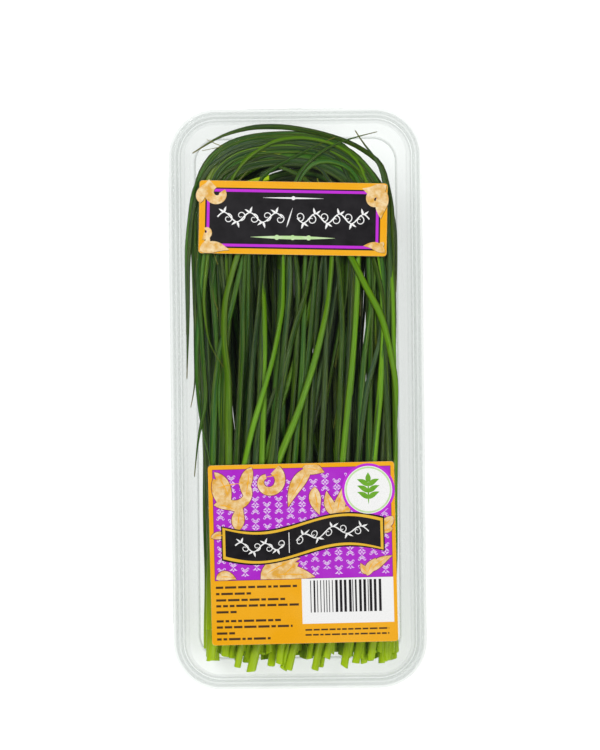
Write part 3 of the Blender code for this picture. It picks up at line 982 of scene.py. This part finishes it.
def bar(x0, y0, x1, y1):
    """A rectangle with sides along x and y."""
    left = np.array([(x0, y0), (x0, y1)], dtype=float)
    return left, np.array([(x1, y0), (x1, y1)], dtype=float)


def disc(center, radius, count=24):
    """A disc as a band along its diameter: half width is the radius times the sine of the turn."""
    angle = np.linspace(0.0, math.pi, count)
    x = center[0] - radius * np.cos(angle)
    reach = np.maximum(radius * np.sin(angle), 0.01)
    return np.stack([x, center[1] + reach], axis=1), np.stack([x, center[1] - reach], axis=1)


def petal(root, tip, width, bend=0.0, count=12, fullness=0.75):
    """A leaf shape from root to tip: its line bows sideways by bend, its width swells and closes."""
    t = np.linspace(0.0, 1.0, count)
    root, tip = np.asarray(root, dtype=float), np.asarray(tip, dtype=float)
    span = tip - root
    normal = np.array([-span[1], span[0]]) / np.linalg.norm(span)
    line = root + span * t[:, None] + normal * (bend * np.sin(math.pi * t))[:, None]
    swell = np.sin(math.pi * t**fullness)
    return band(line, 0.5 * width * swell + 0.02)


def scroll(center, outer, inner, start, end, thick, thin, count=26):
    """A curl: a spiral from its outer radius to its inner one, tapering from thick to thin."""
    t = np.linspace(0.0, 1.0, count)
    angle = np.radians(start + (end - start) * t)
    radius = outer + (inner - outer) * t
    line = np.stack([center[0] + radius * np.cos(angle), center[1] + radius * np.sin(angle)], axis=1)
    return band(line, 0.5 * (thick + (thin - thick) * t))


def ink_solid(shapes, low, high, rise):
    """Closed flat solids, one for each (left, right) pair of edges, between two heights.

    The top climbs by the rise from the first shape to the last, so that shapes which cross never
    share a height.
    """
    points, faces, start = [], [], 0
    for number, (left, right) in enumerate(shapes):
        count = len(left)
        top = high + rise * (number + np.linspace(0.0, 0.9, count)) / len(shapes)
        base = np.full(count, low)
        ring = [(left, top), (right, top), (right, base), (left, base)]
        rows = np.stack([np.column_stack(edge) for edge in ring], axis=1)
        points.append(rows.reshape(-1, 3))
        faces += grid_quads(count, 4, start)
        last = start + (count - 1) * 4
        faces += [[start, start + 1, start + 2, start + 3], [last, last + 1, last + 2, last + 3]]
        start += 4 * count
    return np.vstack(points), faces


class Sticker:
    """Where a sticker lies: its size, middle, turn and the heights of its paper and inks.

    Lengths are in millimetres: gap lies between lid and paper, step between two layers of ink.
    """

    gap = 0.03
    paper = 0.12
    step = 0.02
    sharp = 20.0

    def __init__(self, node, size, turn, nudge):
        """Lie on the lid over a node's middle, moved by the nudge."""
        low, high = (np.array(corner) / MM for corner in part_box(node))
        self.node = node
        self.half = np.array(size) / 2
        self.middle = (low[:2] + high[:2]) / 2 + nudge
        self.turn = math.radians(turn)
        self.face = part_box("lid")[1][2] / MM + self.gap

    def placed(self, points):
        """Turn flat points about the sticker's middle and put them on the lid, in metres."""
        cos, sin = math.cos(self.turn), math.sin(self.turn)
        x = self.middle[0] + points[:, 0] * cos - points[:, 1] * sin
        y = self.middle[1] + points[:, 0] * sin + points[:, 1] * cos
        return np.stack([x, y, points[:, 2]], axis=1) * MM

    def add(self, name, shapes, layer, material, nodes=()):
        """Print shapes in one ink; layer 0 is the paper and each layer stands just over the last."""
        top = self.face + self.paper + layer * self.step
        low = self.face if layer == 0 else self.face + self.paper - self.step
        points, faces = ink_solid(shapes, low, top, 0.8 * self.step)
        title = f"{self.node}_{name}"
        add_piece(title, self.placed(points), faces, material, "lid", nodes, sharp=self.sharp)


def rounded_card(half, radius=1.2, count=8):
    """A rectangle with rounded corners as a band along x."""
    angle = np.linspace(0.0, math.pi / 2, count)
    x_end = -half[0] + radius - radius * np.cos(angle)
    reach = half[1] - radius + radius * np.sin(angle)
    x = np.concatenate([x_end, -x_end[::-1]])
    y = np.concatenate([reach, reach[::-1]])
    return np.stack([x, y], axis=1), np.stack([x, -y], axis=1)


def frame_lines(x0, y0, x1, y1, width):
    """Four bars round a rectangle."""
    return [
        bar(x0, y1 - width, x1, y1),
        bar(x0, y0, x1, y0 + width),
        bar(x0, y0 + width, x0 + width, y1 - width),
        bar(x1 - width, y0 + width, x1, y1 - width),
    ]


def vine(start, end, base, height, weight, turns):
    """A creeping stem, one sine wave, with a curl and a leaf on alternate sides at each crest."""
    t = np.linspace(0.0, 1.0, 14 * turns)
    x = start + (end - start) * t
    y = base + 0.24 * height * np.sin(math.pi * turns * t)
    shapes = [band(np.stack([x, y], axis=1), weight * (0.6 + 0.5 * np.abs(np.cos(math.pi * turns * t))))]
    pitch = (end - start) / turns
    for number in range(turns):
        way = 1 if number % 2 == 0 else -1
        painted_crest_light = start + pitch * (number + 0.5)
        root = base + way * 0.22 * height
        curl = (painted_crest_light + 0.30 * pitch, root - way * 0.30 * height)
        turned = 90 * way
        outer, inner = 0.26 * height, 0.06 * height
        shapes.append(scroll(curl, outer, inner, turned, turned - way * 400, 1.7 * weight, weight))
        for aside, above, wide, bend in ((0.16, 0.34, 3.4, 0.4), (-0.42, 0.20, 3.0, -0.4)):
            tip = (painted_crest_light + aside * pitch, root + way * above * height)
            shapes.append(petal((painted_crest_light, root), tip, wide * weight, bend * weight))
    return shapes


def damask(x0, y0, x1, y1, pitch):
    """Small flower-and-curl motifs in a half-drop grid, kept inside a rectangle."""
    shapes = []
    columns = int((x1 - x0) / pitch)
    rows = int((y1 - y0) / pitch)
    for column in range(columns + 1):
        for row in range(rows + 1):
            x = x0 + (column + 0.5) * (x1 - x0) / (columns + 1)
            y = y0 + (row + 0.5 + 0.25 * (-1) ** column) * (y1 - y0) / (rows + 1)
            if not (x0 + 0.28 * pitch < x < x1 - 0.28 * pitch and y0 + 0.4 * pitch < y < y1 - 0.4 * pitch):
                continue
            up = 1 if (row + column) % 2 else -1
            for angle in (90, 162, 234, 306, 18):
                a = math.radians(up * angle)
                tip = (x + 0.20 * pitch * math.cos(a), y + 0.20 * pitch * math.sin(a))
                shapes.append(petal((x, y), tip, 0.14 * pitch, count=6))
            for way in (-1, 1):
                spot = (x + way * 0.26 * pitch, y - up * 0.16 * pitch)
                turned = 90 * up
                shapes.append(scroll(
                    spot, 0.15 * pitch, 0.03 * pitch, turned, turned + way * up * 330,
                    0.09 * pitch, 0.05 * pitch, 10,
                ))
                root = (x + way * 0.06 * pitch, y + up * 0.20 * pitch)
                tip = (x + way * 0.34 * pitch, y + up * 0.40 * pitch)
                shapes.append(petal(root, tip, 0.12 * pitch, way * up * 0.06 * pitch, 6))
            shapes.append(disc((x, y + up * 0.42 * pitch), 0.07 * pitch, 7))
    return shapes


# --- operators ----------------------------------------------------------------------------------


class CHIVE_OT_tray(bpy.types.Operator):
    """Build the clear tray with its rim, sealing bead and hang tab"""

    bl_idname = "chive_pack.tray"
    bl_label = "Tray"

    def execute(self, context):
        film = context.scene.chive_pack.film
        points, faces, painted_fold_shades = formed_sheet(tray_profile(), film.corner_steps)
        tab_points, tab_faces, tab_painted_shades = hang_tab(len(points))
        points = np.vstack([points, tab_points])
        marks = {"painted_fold_shade": np.vstack([painted_fold_shades, tab_painted_shades])}
        tray = add_piece(
            "tray_film", points, faces + tab_faces, film_material(film), "base", ["base_tray"], marks,
        )
        tray.visible_shadow = False
        return {"FINISHED"}


class CHIVE_OT_lid(bpy.types.Operator):
    """Build the clear shallow lid"""

    bl_idname = "chive_pack.lid"
    bl_label = "Lid"

    def execute(self, context):
        film = context.scene.chive_pack.film
        points, faces, painted_fold_shades = formed_sheet(lid_profile(), film.corner_steps)
        marks = {"painted_fold_shade": painted_fold_shades}
        lid = add_piece("lid_film", points, faces, film_material(film), "lid", ["lid"], marks)
        lid.visible_shadow = False
        return {"FINISHED"}


class CHIVE_OT_hinge(bpy.types.Operator):
    """Build the folded film that joins the lid to the tray"""

    bl_idname = "chive_pack.hinge"
    bl_label = "Hinge film"

    def execute(self, context):
        film = context.scene.chive_pack.film
        edge_x = -(WELL_HALF_WIDTH + RIM_WIDTH)
        tray_z = TRAY_DEPTH - FILM / 2
        lid_z = tray_z + FILM + FIT_GAP
        middle = (edge_x, (tray_z + lid_z) / 2)
        bulge = (lid_z - tray_z) / 2
        outer = arc(middle, bulge + HINGE_FILM_HALF, 270, 90, 12)
        inner = arc(middle, bulge - HINGE_FILM_HALF, 90, 270, 12)
        section = np.vstack([outer, inner])
        stations = np.linspace(-HINGE_LENGTH / 2, HINGE_LENGTH / 2, 60)
        columns = len(section)
        x, y = np.broadcast_arrays(section[None, :, 0], stations[:, None])
        z = np.broadcast_to(section[None, :, 1], x.shape)
        points = np.stack([x, y, z], axis=-1).reshape(-1, 3) * MM
        faces = grid_quads(len(stations), columns)
        last = (len(stations) - 1) * columns
        half = columns // 2
        for start in (0, last):
            for i in range(half - 1):
                faces.append([start + i, start + i + 1, start + columns - 2 - i, start + columns - 1 - i])
        piece = add_piece("hinge_film", points, faces, film_material(film), None, ["hinge_fold"])
        start, end = ((edge_x * MM, 0.0, z * MM) for z in (tray_z, lid_z))
        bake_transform(piece)
        return {"FINISHED"}


class CHIVE_OT_leaves(bpy.types.Operator):
    """Build the hooked leaves, one for each leaf of the frame"""

    bl_idname = "chive_pack.leaves"
    bl_label = "Hooked leaves"

    def execute(self, context):
        leaf = context.scene.chive_pack.leaf
        draw = np.random.default_rng(SEED)
        finish = np.random.default_rng(SEED + 1)
        for number in range(SHEETS * HOOKS):
            sheet, hook = divmod(number, HOOKS)
            cut_y = CUT_Y + draw.uniform(-CUT_JITTER, CUT_JITTER)
            length = draw.uniform(*LEAF_LENGTH)
            route = wander_route(even_route(hook_route(sheet, hook, cut_y, length)), leaf.wander, finish)
            half_width = leaf.half_width * finish.uniform(0.82, 1.12)
            shell = leaf_shell(route, half_width, leaf.flatness, finish)
            tone = TONES[number % len(TONES)]
            add_leaves(f"chive_{number + 1:02d}", tone, leaf, shell, [f"chive_leaf_{number + 1:02d}"])
        return {"FINISHED"}


class CHIVE_OT_loose_leaves(bpy.types.Operator):
    """Build the leaves that lie loose over the hooked ones"""

    bl_idname = "chive_pack.loose_leaves"
    bl_label = "Loose leaves"

    def execute(self, context):
        leaf = context.scene.chive_pack.leaf
        draw = np.random.default_rng(SEED + 2)
        for name, (tone, half_width, points) in LOOSE_LEAVES.items():
            shell = leaf_shell(even_route(points, soften=3.5), 1.08 * half_width, leaf.flatness, draw)
            add_leaves(name, tone, leaf, shell)
        bundles = {}
        for number in range(leaf.fillers):
            route = even_route(filler_route(number, leaf.fillers, draw), soften=14.0)
            shell = leaf_shell(route, leaf.half_width * draw.uniform(0.8, 1.05), leaf.flatness, draw)
            bundles.setdefault(("filler", TONES[(3 * number + 1) % len(TONES)]), []).append(shell)
        for number in range(leaf.low_fillers):
            route = even_route(low_filler_route(number, leaf.low_fillers, draw), soften=14.0, spacing=6.0)
            shell = leaf_shell(route, 1.15 * leaf.half_width, leaf.flatness, draw)
            # Real leaves, all in the darkest tone so that the gaps between the layers read dark: partly
            # painted shade.
            bundles.setdefault(("low_filler", "deep"), []).append(shell)
        for number in range(leaf.crown):
            route = even_route(crown_route(number, leaf.crown, draw), soften=6.0)
            shell = leaf_shell(route, leaf.half_width * draw.uniform(0.7, 0.95), leaf.flatness, draw)
            bundles.setdefault(("crown", TONES[(5 * number + 2) % len(TONES)]), []).append(shell)
        for (name, tone), shells in bundles.items():
            add_leaves(f"{name}_{tone}", tone, leaf, joined(shells))
        return {"FINISHED"}


def inks(settings):
    """The inks by name: an ink's colour, the one that mottles it, how much, and how finely."""
    gold, purple = tuple(settings.gold), tuple(settings.purple)
    looks = {
        "gold": (gold, (0.98, 0.50, 0.03), 0.5, 60.0),
        "pearl": ((0.80, 0.42, 0.06), (0.98, 0.78, 0.46), 1.0, 420.0),
        "black": ((0.005, 0.004, 0.006), (0.012, 0.010, 0.013), 0.8, 200.0),
        "magenta": ((0.60, 0.03, 0.74), purple, 0.3, 150.0),
        "purple": (purple, (0.48, 0.04, 0.66), 0.5, 150.0),
        "lilac": ((0.80, 0.50, 0.92), (0.92, 0.74, 0.98), 0.6, 400.0),
        "white": ((0.97, 0.97, 0.96), (0.92, 0.92, 0.92), 0.3, 90.0),
        "pale_green": ((0.52, 0.78, 0.34), (0.74, 0.88, 0.60), 0.7, 300.0),
        "green": ((0.14, 0.40, 0.02), (0.24, 0.52, 0.04), 0.6, 300.0),
        "maroon": ((0.22, 0.015, 0.06), (0.30, 0.02, 0.10), 0.4, 300.0),
        "yellow": ((0.85, 0.50, 0.03), (0.90, 0.58, 0.06), 0.5, 200.0),
        "brown": ((0.07, 0.035, 0.01), (0.10, 0.05, 0.02), 0.4, 300.0),
    }
    return {name: ink_material(f"ink_{name}", *look) for name, look in looks.items()}


class CHIVE_OT_upper_sticker(bpy.types.Operator):
    """Build the small sticker: gold border, black panel, magenta frame and curls"""

    bl_idname = "chive_pack.upper_sticker"
    bl_label = "Upper sticker"

    def execute(self, context):
        settings = context.scene.chive_pack.sticker
        ink = inks(settings)
        sticker = Sticker("upper_sticker", settings.upper_size, settings.upper_turn, (0.45, -0.35))
        width, height = sticker.half
        sticker.add("paper", [rounded_card(sticker.half)], 0, ink["white"], ["upper_sticker"])
        sticker.add("ground", [rounded_card(sticker.half - 0.02)], 0.5, ink["gold"])
        panel = (-width + 2.3, -height + 2.1, width - 2.6, height - 2.6)
        sticker.add("panel", [bar(*panel)], 1, ink["black"])
        inner = (panel[0] + 0.6, panel[1] + 0.6, panel[2] - 0.6, panel[3] - 0.5)
        sticker.add("frame", frame_lines(*inner, 1.05), 2, ink["magenta"])
        curls = [
            scroll((-width + 7.0, height - 4.6), 4.0, 1.6, 120, 380, 4.2, 2.6),
            petal((-width + 0.4, height - 8.6), (-width + 2.6, height - 1.0), 3.6, 0.8),
            scroll((-width + 2.6, -height + 8.2), 1.9, 0.9, -120, 110, 2.8, 1.0),
            petal((-width + 0.4, -height + 0.8), (-width + 11.6, -height + 1.4), 4.4, 1.4),
            petal((-width + 0.5, -height + 0.9), (-width + 4.0, -height + 6.6), 2.8, -0.8),
            petal((width - 0.5, height - 0.7), (width - 9.6, height - 2.0), 4.6, 1.6),
            scroll((width - 4.4, height - 6.3), 3.0, 1.1, 60, 320, 4.0, 1.8),
            petal((width - 0.5, height - 3.0), (width - 2.4, height - 13.4), 4.8, -0.9),
            petal((width - 0.6, -height + 1.3), (width - 8.8, -height + 3.8), 3.2, -1.3),
            petal((width - 1.2, -height + 5.4), (width - 5.2, -height + 3.0), 2.2, 0.7),
        ]
        sticker.add("curl_shadow", [shift(shape, 0.12, -0.12) for shape in curls], 3, ink["brown"])
        sticker.add("curls", curls, 4, ink["pearl"])
        ornament = vine(-28.5, -4.0, 0.1, 7.2, 0.24, 5) + vine(28.8, 1.6, 0.1, 7.2, 0.24, 6)
        ornament.append(petal((-2.4, -3.4), (-0.2, 4.0), 0.5))
        sticker.add("ornament", ornament, 2, ink["white"])
        rule = petal((-11.5, 7.6), (11.5, 7.6), 0.55, 0.0, 20, 1.0)
        sticker.add("rule", [rule, disc((0.0, 7.6), 0.75)], 2, ink["white"])
        lower_rule = [petal((-16.0, -7.3), (16.0, -7.3), 1.3, 0.0, 20, 1.0)]
        lower_rule += [disc((x, -7.3), 0.95) for x in (-6.0, 0.0, 6.0)]
        sticker.add("lower_rule", lower_rule, 2, ink["pale_green"])
        return {"FINISHED"}


def shift(shape, x, y):
    """The same band moved by x and y."""
    left, right = shape
    return left + [x, y], right + [x, y]


def swollen(shape, amount):
    """The same band a little wider on both sides."""
    left, right = shape
    across = left - right
    across /= np.maximum(np.linalg.norm(across, axis=1), 1e-6)[:, None]
    return left + across * amount, right - across * amount


class CHIVE_OT_lower_sticker(bpy.types.Operator):
    """Build the large sticker: patterned panel, banner, round badge, stripes and plain rules"""

    bl_idname = "chive_pack.lower_sticker"
    bl_label = "Lower sticker"

    def execute(self, context):
        settings = context.scene.chive_pack.sticker
        ink = inks(settings)
        sticker = Sticker("lower_sticker", settings.lower_size, settings.lower_turn, (-0.6, 0.9))
        width, height = sticker.half
        panel = (-width + 1.8, -9.5, width - 1.6, height - 1.8)
        sticker.add("paper", [rounded_card(sticker.half)], 0, ink["white"], ["lower_sticker"])
        sticker.add("ground", [rounded_card(sticker.half - 0.02)], 0.5, ink["gold"])
        edge = (panel[0] - 0.2, panel[1] - 0.2, panel[2] + 0.2, panel[3] + 0.2)
        pattern = (panel[0] + 0.3, panel[1] + 0.3, panel[2] - 0.3, panel[3] - 0.3)
        sticker.add("panel_edge", [bar(*edge)], 1, ink["maroon"])
        sticker.add("panel", [bar(*panel)], 2, ink["purple"])
        sticker.add("damask", damask(*pattern, 4.5), 3, ink["lilac"])
        self.flourishes(sticker, ink, width, height)
        self.banner(sticker, ink)
        self.badge(sticker, ink)
        self.stripes(sticker, ink)
        return {"FINISHED"}

    def flourishes(self, sticker, ink, width, height):
        """Gold leaves and curls that reach into the patterned panel, each with a dark outline."""
        shapes = [
            scroll((-24.5, 24.5), 7.6, 3.2, 150, 430, 4.6, 2.4),
            scroll((-12.6, 27.4), 5.2, 2.0, 60, -250, 4.4, 1.8),
            petal((-32.8, 31.4), (-27.0, 19.0), 3.6, 1.5),
            petal((-18.6, 33.0), (-20.6, 20.0), 4.6, -1.5),
            petal((-33.2, 19.0), (-23.4, 15.6), 3.4, 1.5),
            petal((-24.2, 9.0), (-22.4, 19.0), 4.8, 0.8),
            petal((4.0, 32.4), (-5.2, 17.6), 5.0, -1.5),
            petal((5.0, 25.0), (6.6, 14.4), 4.4, -0.7),
            petal((0.6, 32.3), (8.8, 30.4), 4.6, 0.5),
            petal((12.6, 14.0), (9.4, 23.4), 4.0, 0.7),
            petal((12.6, 14.0), (15.4, 24.4), 4.2, -0.6),
            petal((13.0, 13.6), (18.6, 18.0), 3.6, -0.5),
            petal((-34.6, 6.8), (-27.2, 7.4), 2.8, 0.5),
            petal((34.4, 13.2), (27.4, 8.2), 3.8, 0.6),
            petal((34.2, 8.6), (28.4, 7.0), 2.6, -0.4),
            petal((-16.2, -9.4), (-1.0, -1.8), 6.2, 1.6),
            petal((-13.8, -9.4), (4.4, -9.0), 6.6, 1.7),
            petal((-8.0, -9.0), (-1.6, -3.4), 4.8, 0.6),
            petal((-33.0, -9.0), (-25.4, -9.2), 3.8, 1.3),
            petal((24.0, -9.0), (27.4, -2.4), 3.4, 0.5),
            petal((24.6, -7.6), (33.6, -1.6), 3.4, 0.7),
            petal((24.6, -8.2), (21.6, -4.2), 2.6, 0.4),
        ]
        low, high = -9.5, height - 0.6

        def held(shape, margin):
            """A shape held inside the panel, a margin short of the sticker's sides."""
            return tuple(np.clip(edge, (margin - width, low), (width - margin, high)) for edge in shape)

        kept = [held(shape, 0.5) for shape in shapes]
        outlines = [held(swollen(shape, 0.24), 0.4) for shape in kept]
        sticker.add("flourish_outline", outlines, 4, ink["maroon"])
        sticker.add("flourishes", kept, 5, ink["pearl"])
        middles = [0.5 * (left + right) for left, right in kept]
        veins = [petal(middle[2], middle[-3], 0.34, 0.2) for middle in middles]
        sticker.add("flourish_veins", veins, 6, ink["gold"])

    def banner(self, sticker, ink):
        """A waving black ribbon, edged in yellow and black: its line is one sine wave."""
        x = np.linspace(-29.2, 29.4, 60)
        upright = np.array([0.0, 1.0])

        def wave(place):
            """Height of the ribbon's line at a place along it."""
            return 5.6 + 3.1 * np.sin(math.pi * place / 33.0)

        def ribbon(half, reach):
            """The ribbon as a band of even height, drawn out at its ends."""
            line = np.stack([np.linspace(x[0] - reach, x[-1] + reach, 60), wave(x)], axis=1)
            return line + upright * half, line - upright * half

        sticker.add("ribbon_outline", [ribbon(6.5, 1.5)], 6.4, ink["black"])
        sticker.add("ribbon_edge", [ribbon(5.95, 1.0)], 7, ink["yellow"])
        sticker.add("ribbon", [ribbon(5.0, 0.0)], 7.5, ink["black"])
        marks = vine(-25.5, -7.4, 0.0, 6.2, 0.21, 4) + vine(25.0, -2.4, 0.0, 6.2, 0.21, 5)
        marks.append(bar(-5.3, -3.8, -5.0, 3.9))
        bent = [tuple(edge + upright * wave(edge[:, :1]) for edge in edges) for edges in marks]
        sticker.add("ribbon_ornament", bent, 8, ink["white"])

    def badge(self, sticker, ink):
        """A round badge with two rings and a plain sprig."""
        center = (25.2, 23.4)
        sticker.add("badge_rim", [disc(center, 9.95, 48)], 6.5, ink["magenta"])
        sticker.add("badge_gap", [disc(center, 9.0, 48)], 7, ink["white"])
        sticker.add("badge_ring", [disc(center, 8.75, 48)], 7.4, ink["pale_green"])
        sticker.add("badge_face", [disc(center, 8.1, 48)], 7.8, ink["white"])
        stem = [petal((center[0], center[1] - 5.4), (center[0], center[1] + 5.2), 0.6, 0.0, 12)]
        for height in (-3.4, -1.0, 1.4):
            root = (center[0], center[1] + height)
            for way in (-1, 1):
                tip = (center[0] + way * 4.2, center[1] + height + 2.6)
                stem.append(petal(root, tip, 1.9, way * 0.4))
        stem.append(petal((center[0], center[1] + 2.8), (center[0], center[1] + 6.6), 2.0))
        sticker.add("badge_sprig", stem, 8.2, ink["green"])

    def stripes(self, sticker, ink):
        """A white box of upright stripes that spell nothing, and plain rules beside and under it."""
        draw = np.random.default_rng(SEED + 3)
        sticker.add("stripe_box", [bar(-0.8, -26.6, 33.8, -9.6)], 3, ink["white"])
        x, stripes = 2.4, []
        while x < 29.4:
            wide = draw.choice([0.32, 0.32, 0.64, 0.96])
            stripes.append(bar(x, -22.4, min(x + wide, 29.8), -10.3))
            x += wide + draw.choice([0.34, 0.68, 0.9])
        sticker.add("stripes", stripes, 4, ink["black"])
        rules = []
        rows = [(-12.2, -2.6), (-14.6, -20.0), (-17.0, -7.2), (-19.2, -1.8), (-21.5, -25.6)]
        rows += [(-24.9, -9.0), (-27.2, -4.6), (-29.5, -26.4), (-31.7, -13.0)]
        for y, end in rows:
            rules += self.dashes(draw, -33.2, end, y, 0.85, (1.2, 4.6), 0.7)
        for y in (-28.9, -30.8):
            rules += self.dashes(draw, 0.2, 31.8, y, 0.6, (1.2, 3.6), 0.55)
        sticker.add("rules", rules, 3, ink["brown"])

    def dashes(self, draw, x, end, y, height, lengths, gap):
        """Short plain bars in a row, of drawn lengths."""
        bars = []
        while x < end:
            wide = min(draw.uniform(*lengths), end - x)
            bars.append(bar(x, y - height / 2, x + wide, y + height / 2))
            x += wide + gap
        return bars


def add_lamp(name, place, power):
    """A soft square lamp at a place in metres, facing the pack; -Z is the way it shines."""
    data = bpy.data.lights.new(name, "AREA")
    data.shape = "RECTANGLE"
    data.size = LAMP_SIDE
    data.size_y = LAMP_SIDE
    data.energy = power
    lamp = bpy.data.objects.new(name, data)
    lamp.location = place
    lamp.rotation_euler = (-Vector(place)).to_track_quat("-Z", "Y").to_euler()
    bpy.context.scene.collection.objects.link(lamp)


class CHIVE_OT_stage(bpy.types.Operator):
    """Build the pale floor, the soft lamps and the camera above the pack"""

    bl_idname = "chive_pack.stage"
    bl_label = "Stage"

    def execute(self, context):
        stage = context.scene.chive_pack.stage
        self.floor(stage)
        for name, (place, power) in LAMPS.items():
            add_lamp(name, place, power)
        self.world(context)
        self.camera(context, stage)
        context.scene.view_settings.view_transform = "Standard"
        return {"FINISHED"}

    def floor(self, stage):
        """A wide slab just under the pack that gives off light of its own."""
        material, tree, output = new_material("pale_floor")
        place = add_node(tree, "ShaderNodeTexCoord").outputs["Object"]
        rough = map_range(tree, noise(tree, place, 18.0), 0.2, 0.8, 0.55, 0.7)
        shader = add_node(
            tree, "ShaderNodeBsdfPrincipled", Base_Color=(*stage.floor_color, 1.0), Roughness=rough,
            Emission_Color=(1.0, 1.0, 1.0, 1.0), Emission_Strength=stage.floor_glow,
        )
        feed(tree, output, Surface=shader.outputs[0])
        x = FLOOR_HALF * np.array([-1, 1, 1, -1])
        y = FLOOR_HALF * np.array([-1, -1, 1, 1])
        top = np.column_stack([x, y, np.full(4, -FLOOR_GAP)])
        points = np.vstack([top, top - [0.0, 0.0, FLOOR_DEPTH]])
        faces = grid_quads(2, 4) + [[0, 1, 2, 3], [7, 6, 5, 4]]
        mesh = bpy.data.meshes.new("floor")
        mesh.from_pydata(points.tolist(), [], faces)
        mesh.materials.append(material)
        floor = bpy.data.objects.new("floor", mesh)
        bpy.context.scene.collection.objects.link(floor)

    def world(self, context):
        """An even white sky."""
        world = bpy.data.worlds.new("white_studio")
        world.use_nodes = True
        tree = world.node_tree
        feed(tree, tree.nodes["Background"], Color=(1.0, 1.0, 1.0, 1.0), Strength=SKY_STRENGTH)
        context.scene.world = world

    def camera(self, context, stage):
        """Straight above the pack, a little towards the tab, and turned so that the pack leans left."""
        data = bpy.data.cameras.new("camera")
        data.lens = stage.lens
        distance = stage.view_height * data.lens / data.sensor_width
        camera = bpy.data.objects.new("camera", data)
        camera.location = (VIEW_MIDDLE[0] * MM, VIEW_MIDDLE[1] * MM, TRAY_DEPTH * MM + distance)
        camera.rotation_euler = (0.0, 0.0, math.radians(-stage.lean))
        context.scene.collection.objects.link(camera)
        context.scene.camera = camera


class CHIVE_PT_panel(bpy.types.Panel):
    """Sidebar panel that lists the pieces"""

    bl_idname = "CHIVE_PT_panel"
    bl_label = "Chive Pack"
    bl_space_type = "VIEW_3D"
    bl_region_type = "UI"
    bl_category = "Chive Pack"

    def draw(self, context):
        for operator in OPERATORS:
            self.layout.operator(operator.bl_idname)


OPERATORS = (
    CHIVE_OT_stage,
    CHIVE_OT_tray,
    CHIVE_OT_lid,
    CHIVE_OT_hinge,
    CHIVE_OT_leaves,
    CHIVE_OT_loose_leaves,
    CHIVE_OT_upper_sticker,
    CHIVE_OT_lower_sticker,
)
SETTINGS = (
    ChiveFilmSettings,
    ChiveLeafSettings,
    ChiveStickerSettings,
    ChiveStageSettings,
    ChivePackSettings,
)


def register():
    """Register the settings, the operators and the panel."""
    for item in SETTINGS + OPERATORS + (CHIVE_PT_panel,):
        bpy.utils.register_class(item)
    bpy.types.Scene.chive_pack = PointerProperty(type=ChivePackSettings)


def unregister():
    """Undo register, last first."""
    del bpy.types.Scene.chive_pack
    for item in reversed(SETTINGS + OPERATORS + (CHIVE_PT_panel,)):
        bpy.utils.unregister_class(item)


def main():
    """Build every piece and the stage."""
    register()
    for operator in OPERATORS:
        group, name = operator.bl_idname.split(".")
        getattr(getattr(bpy.ops, group), name)()


if __name__ == "__main__":
    main()
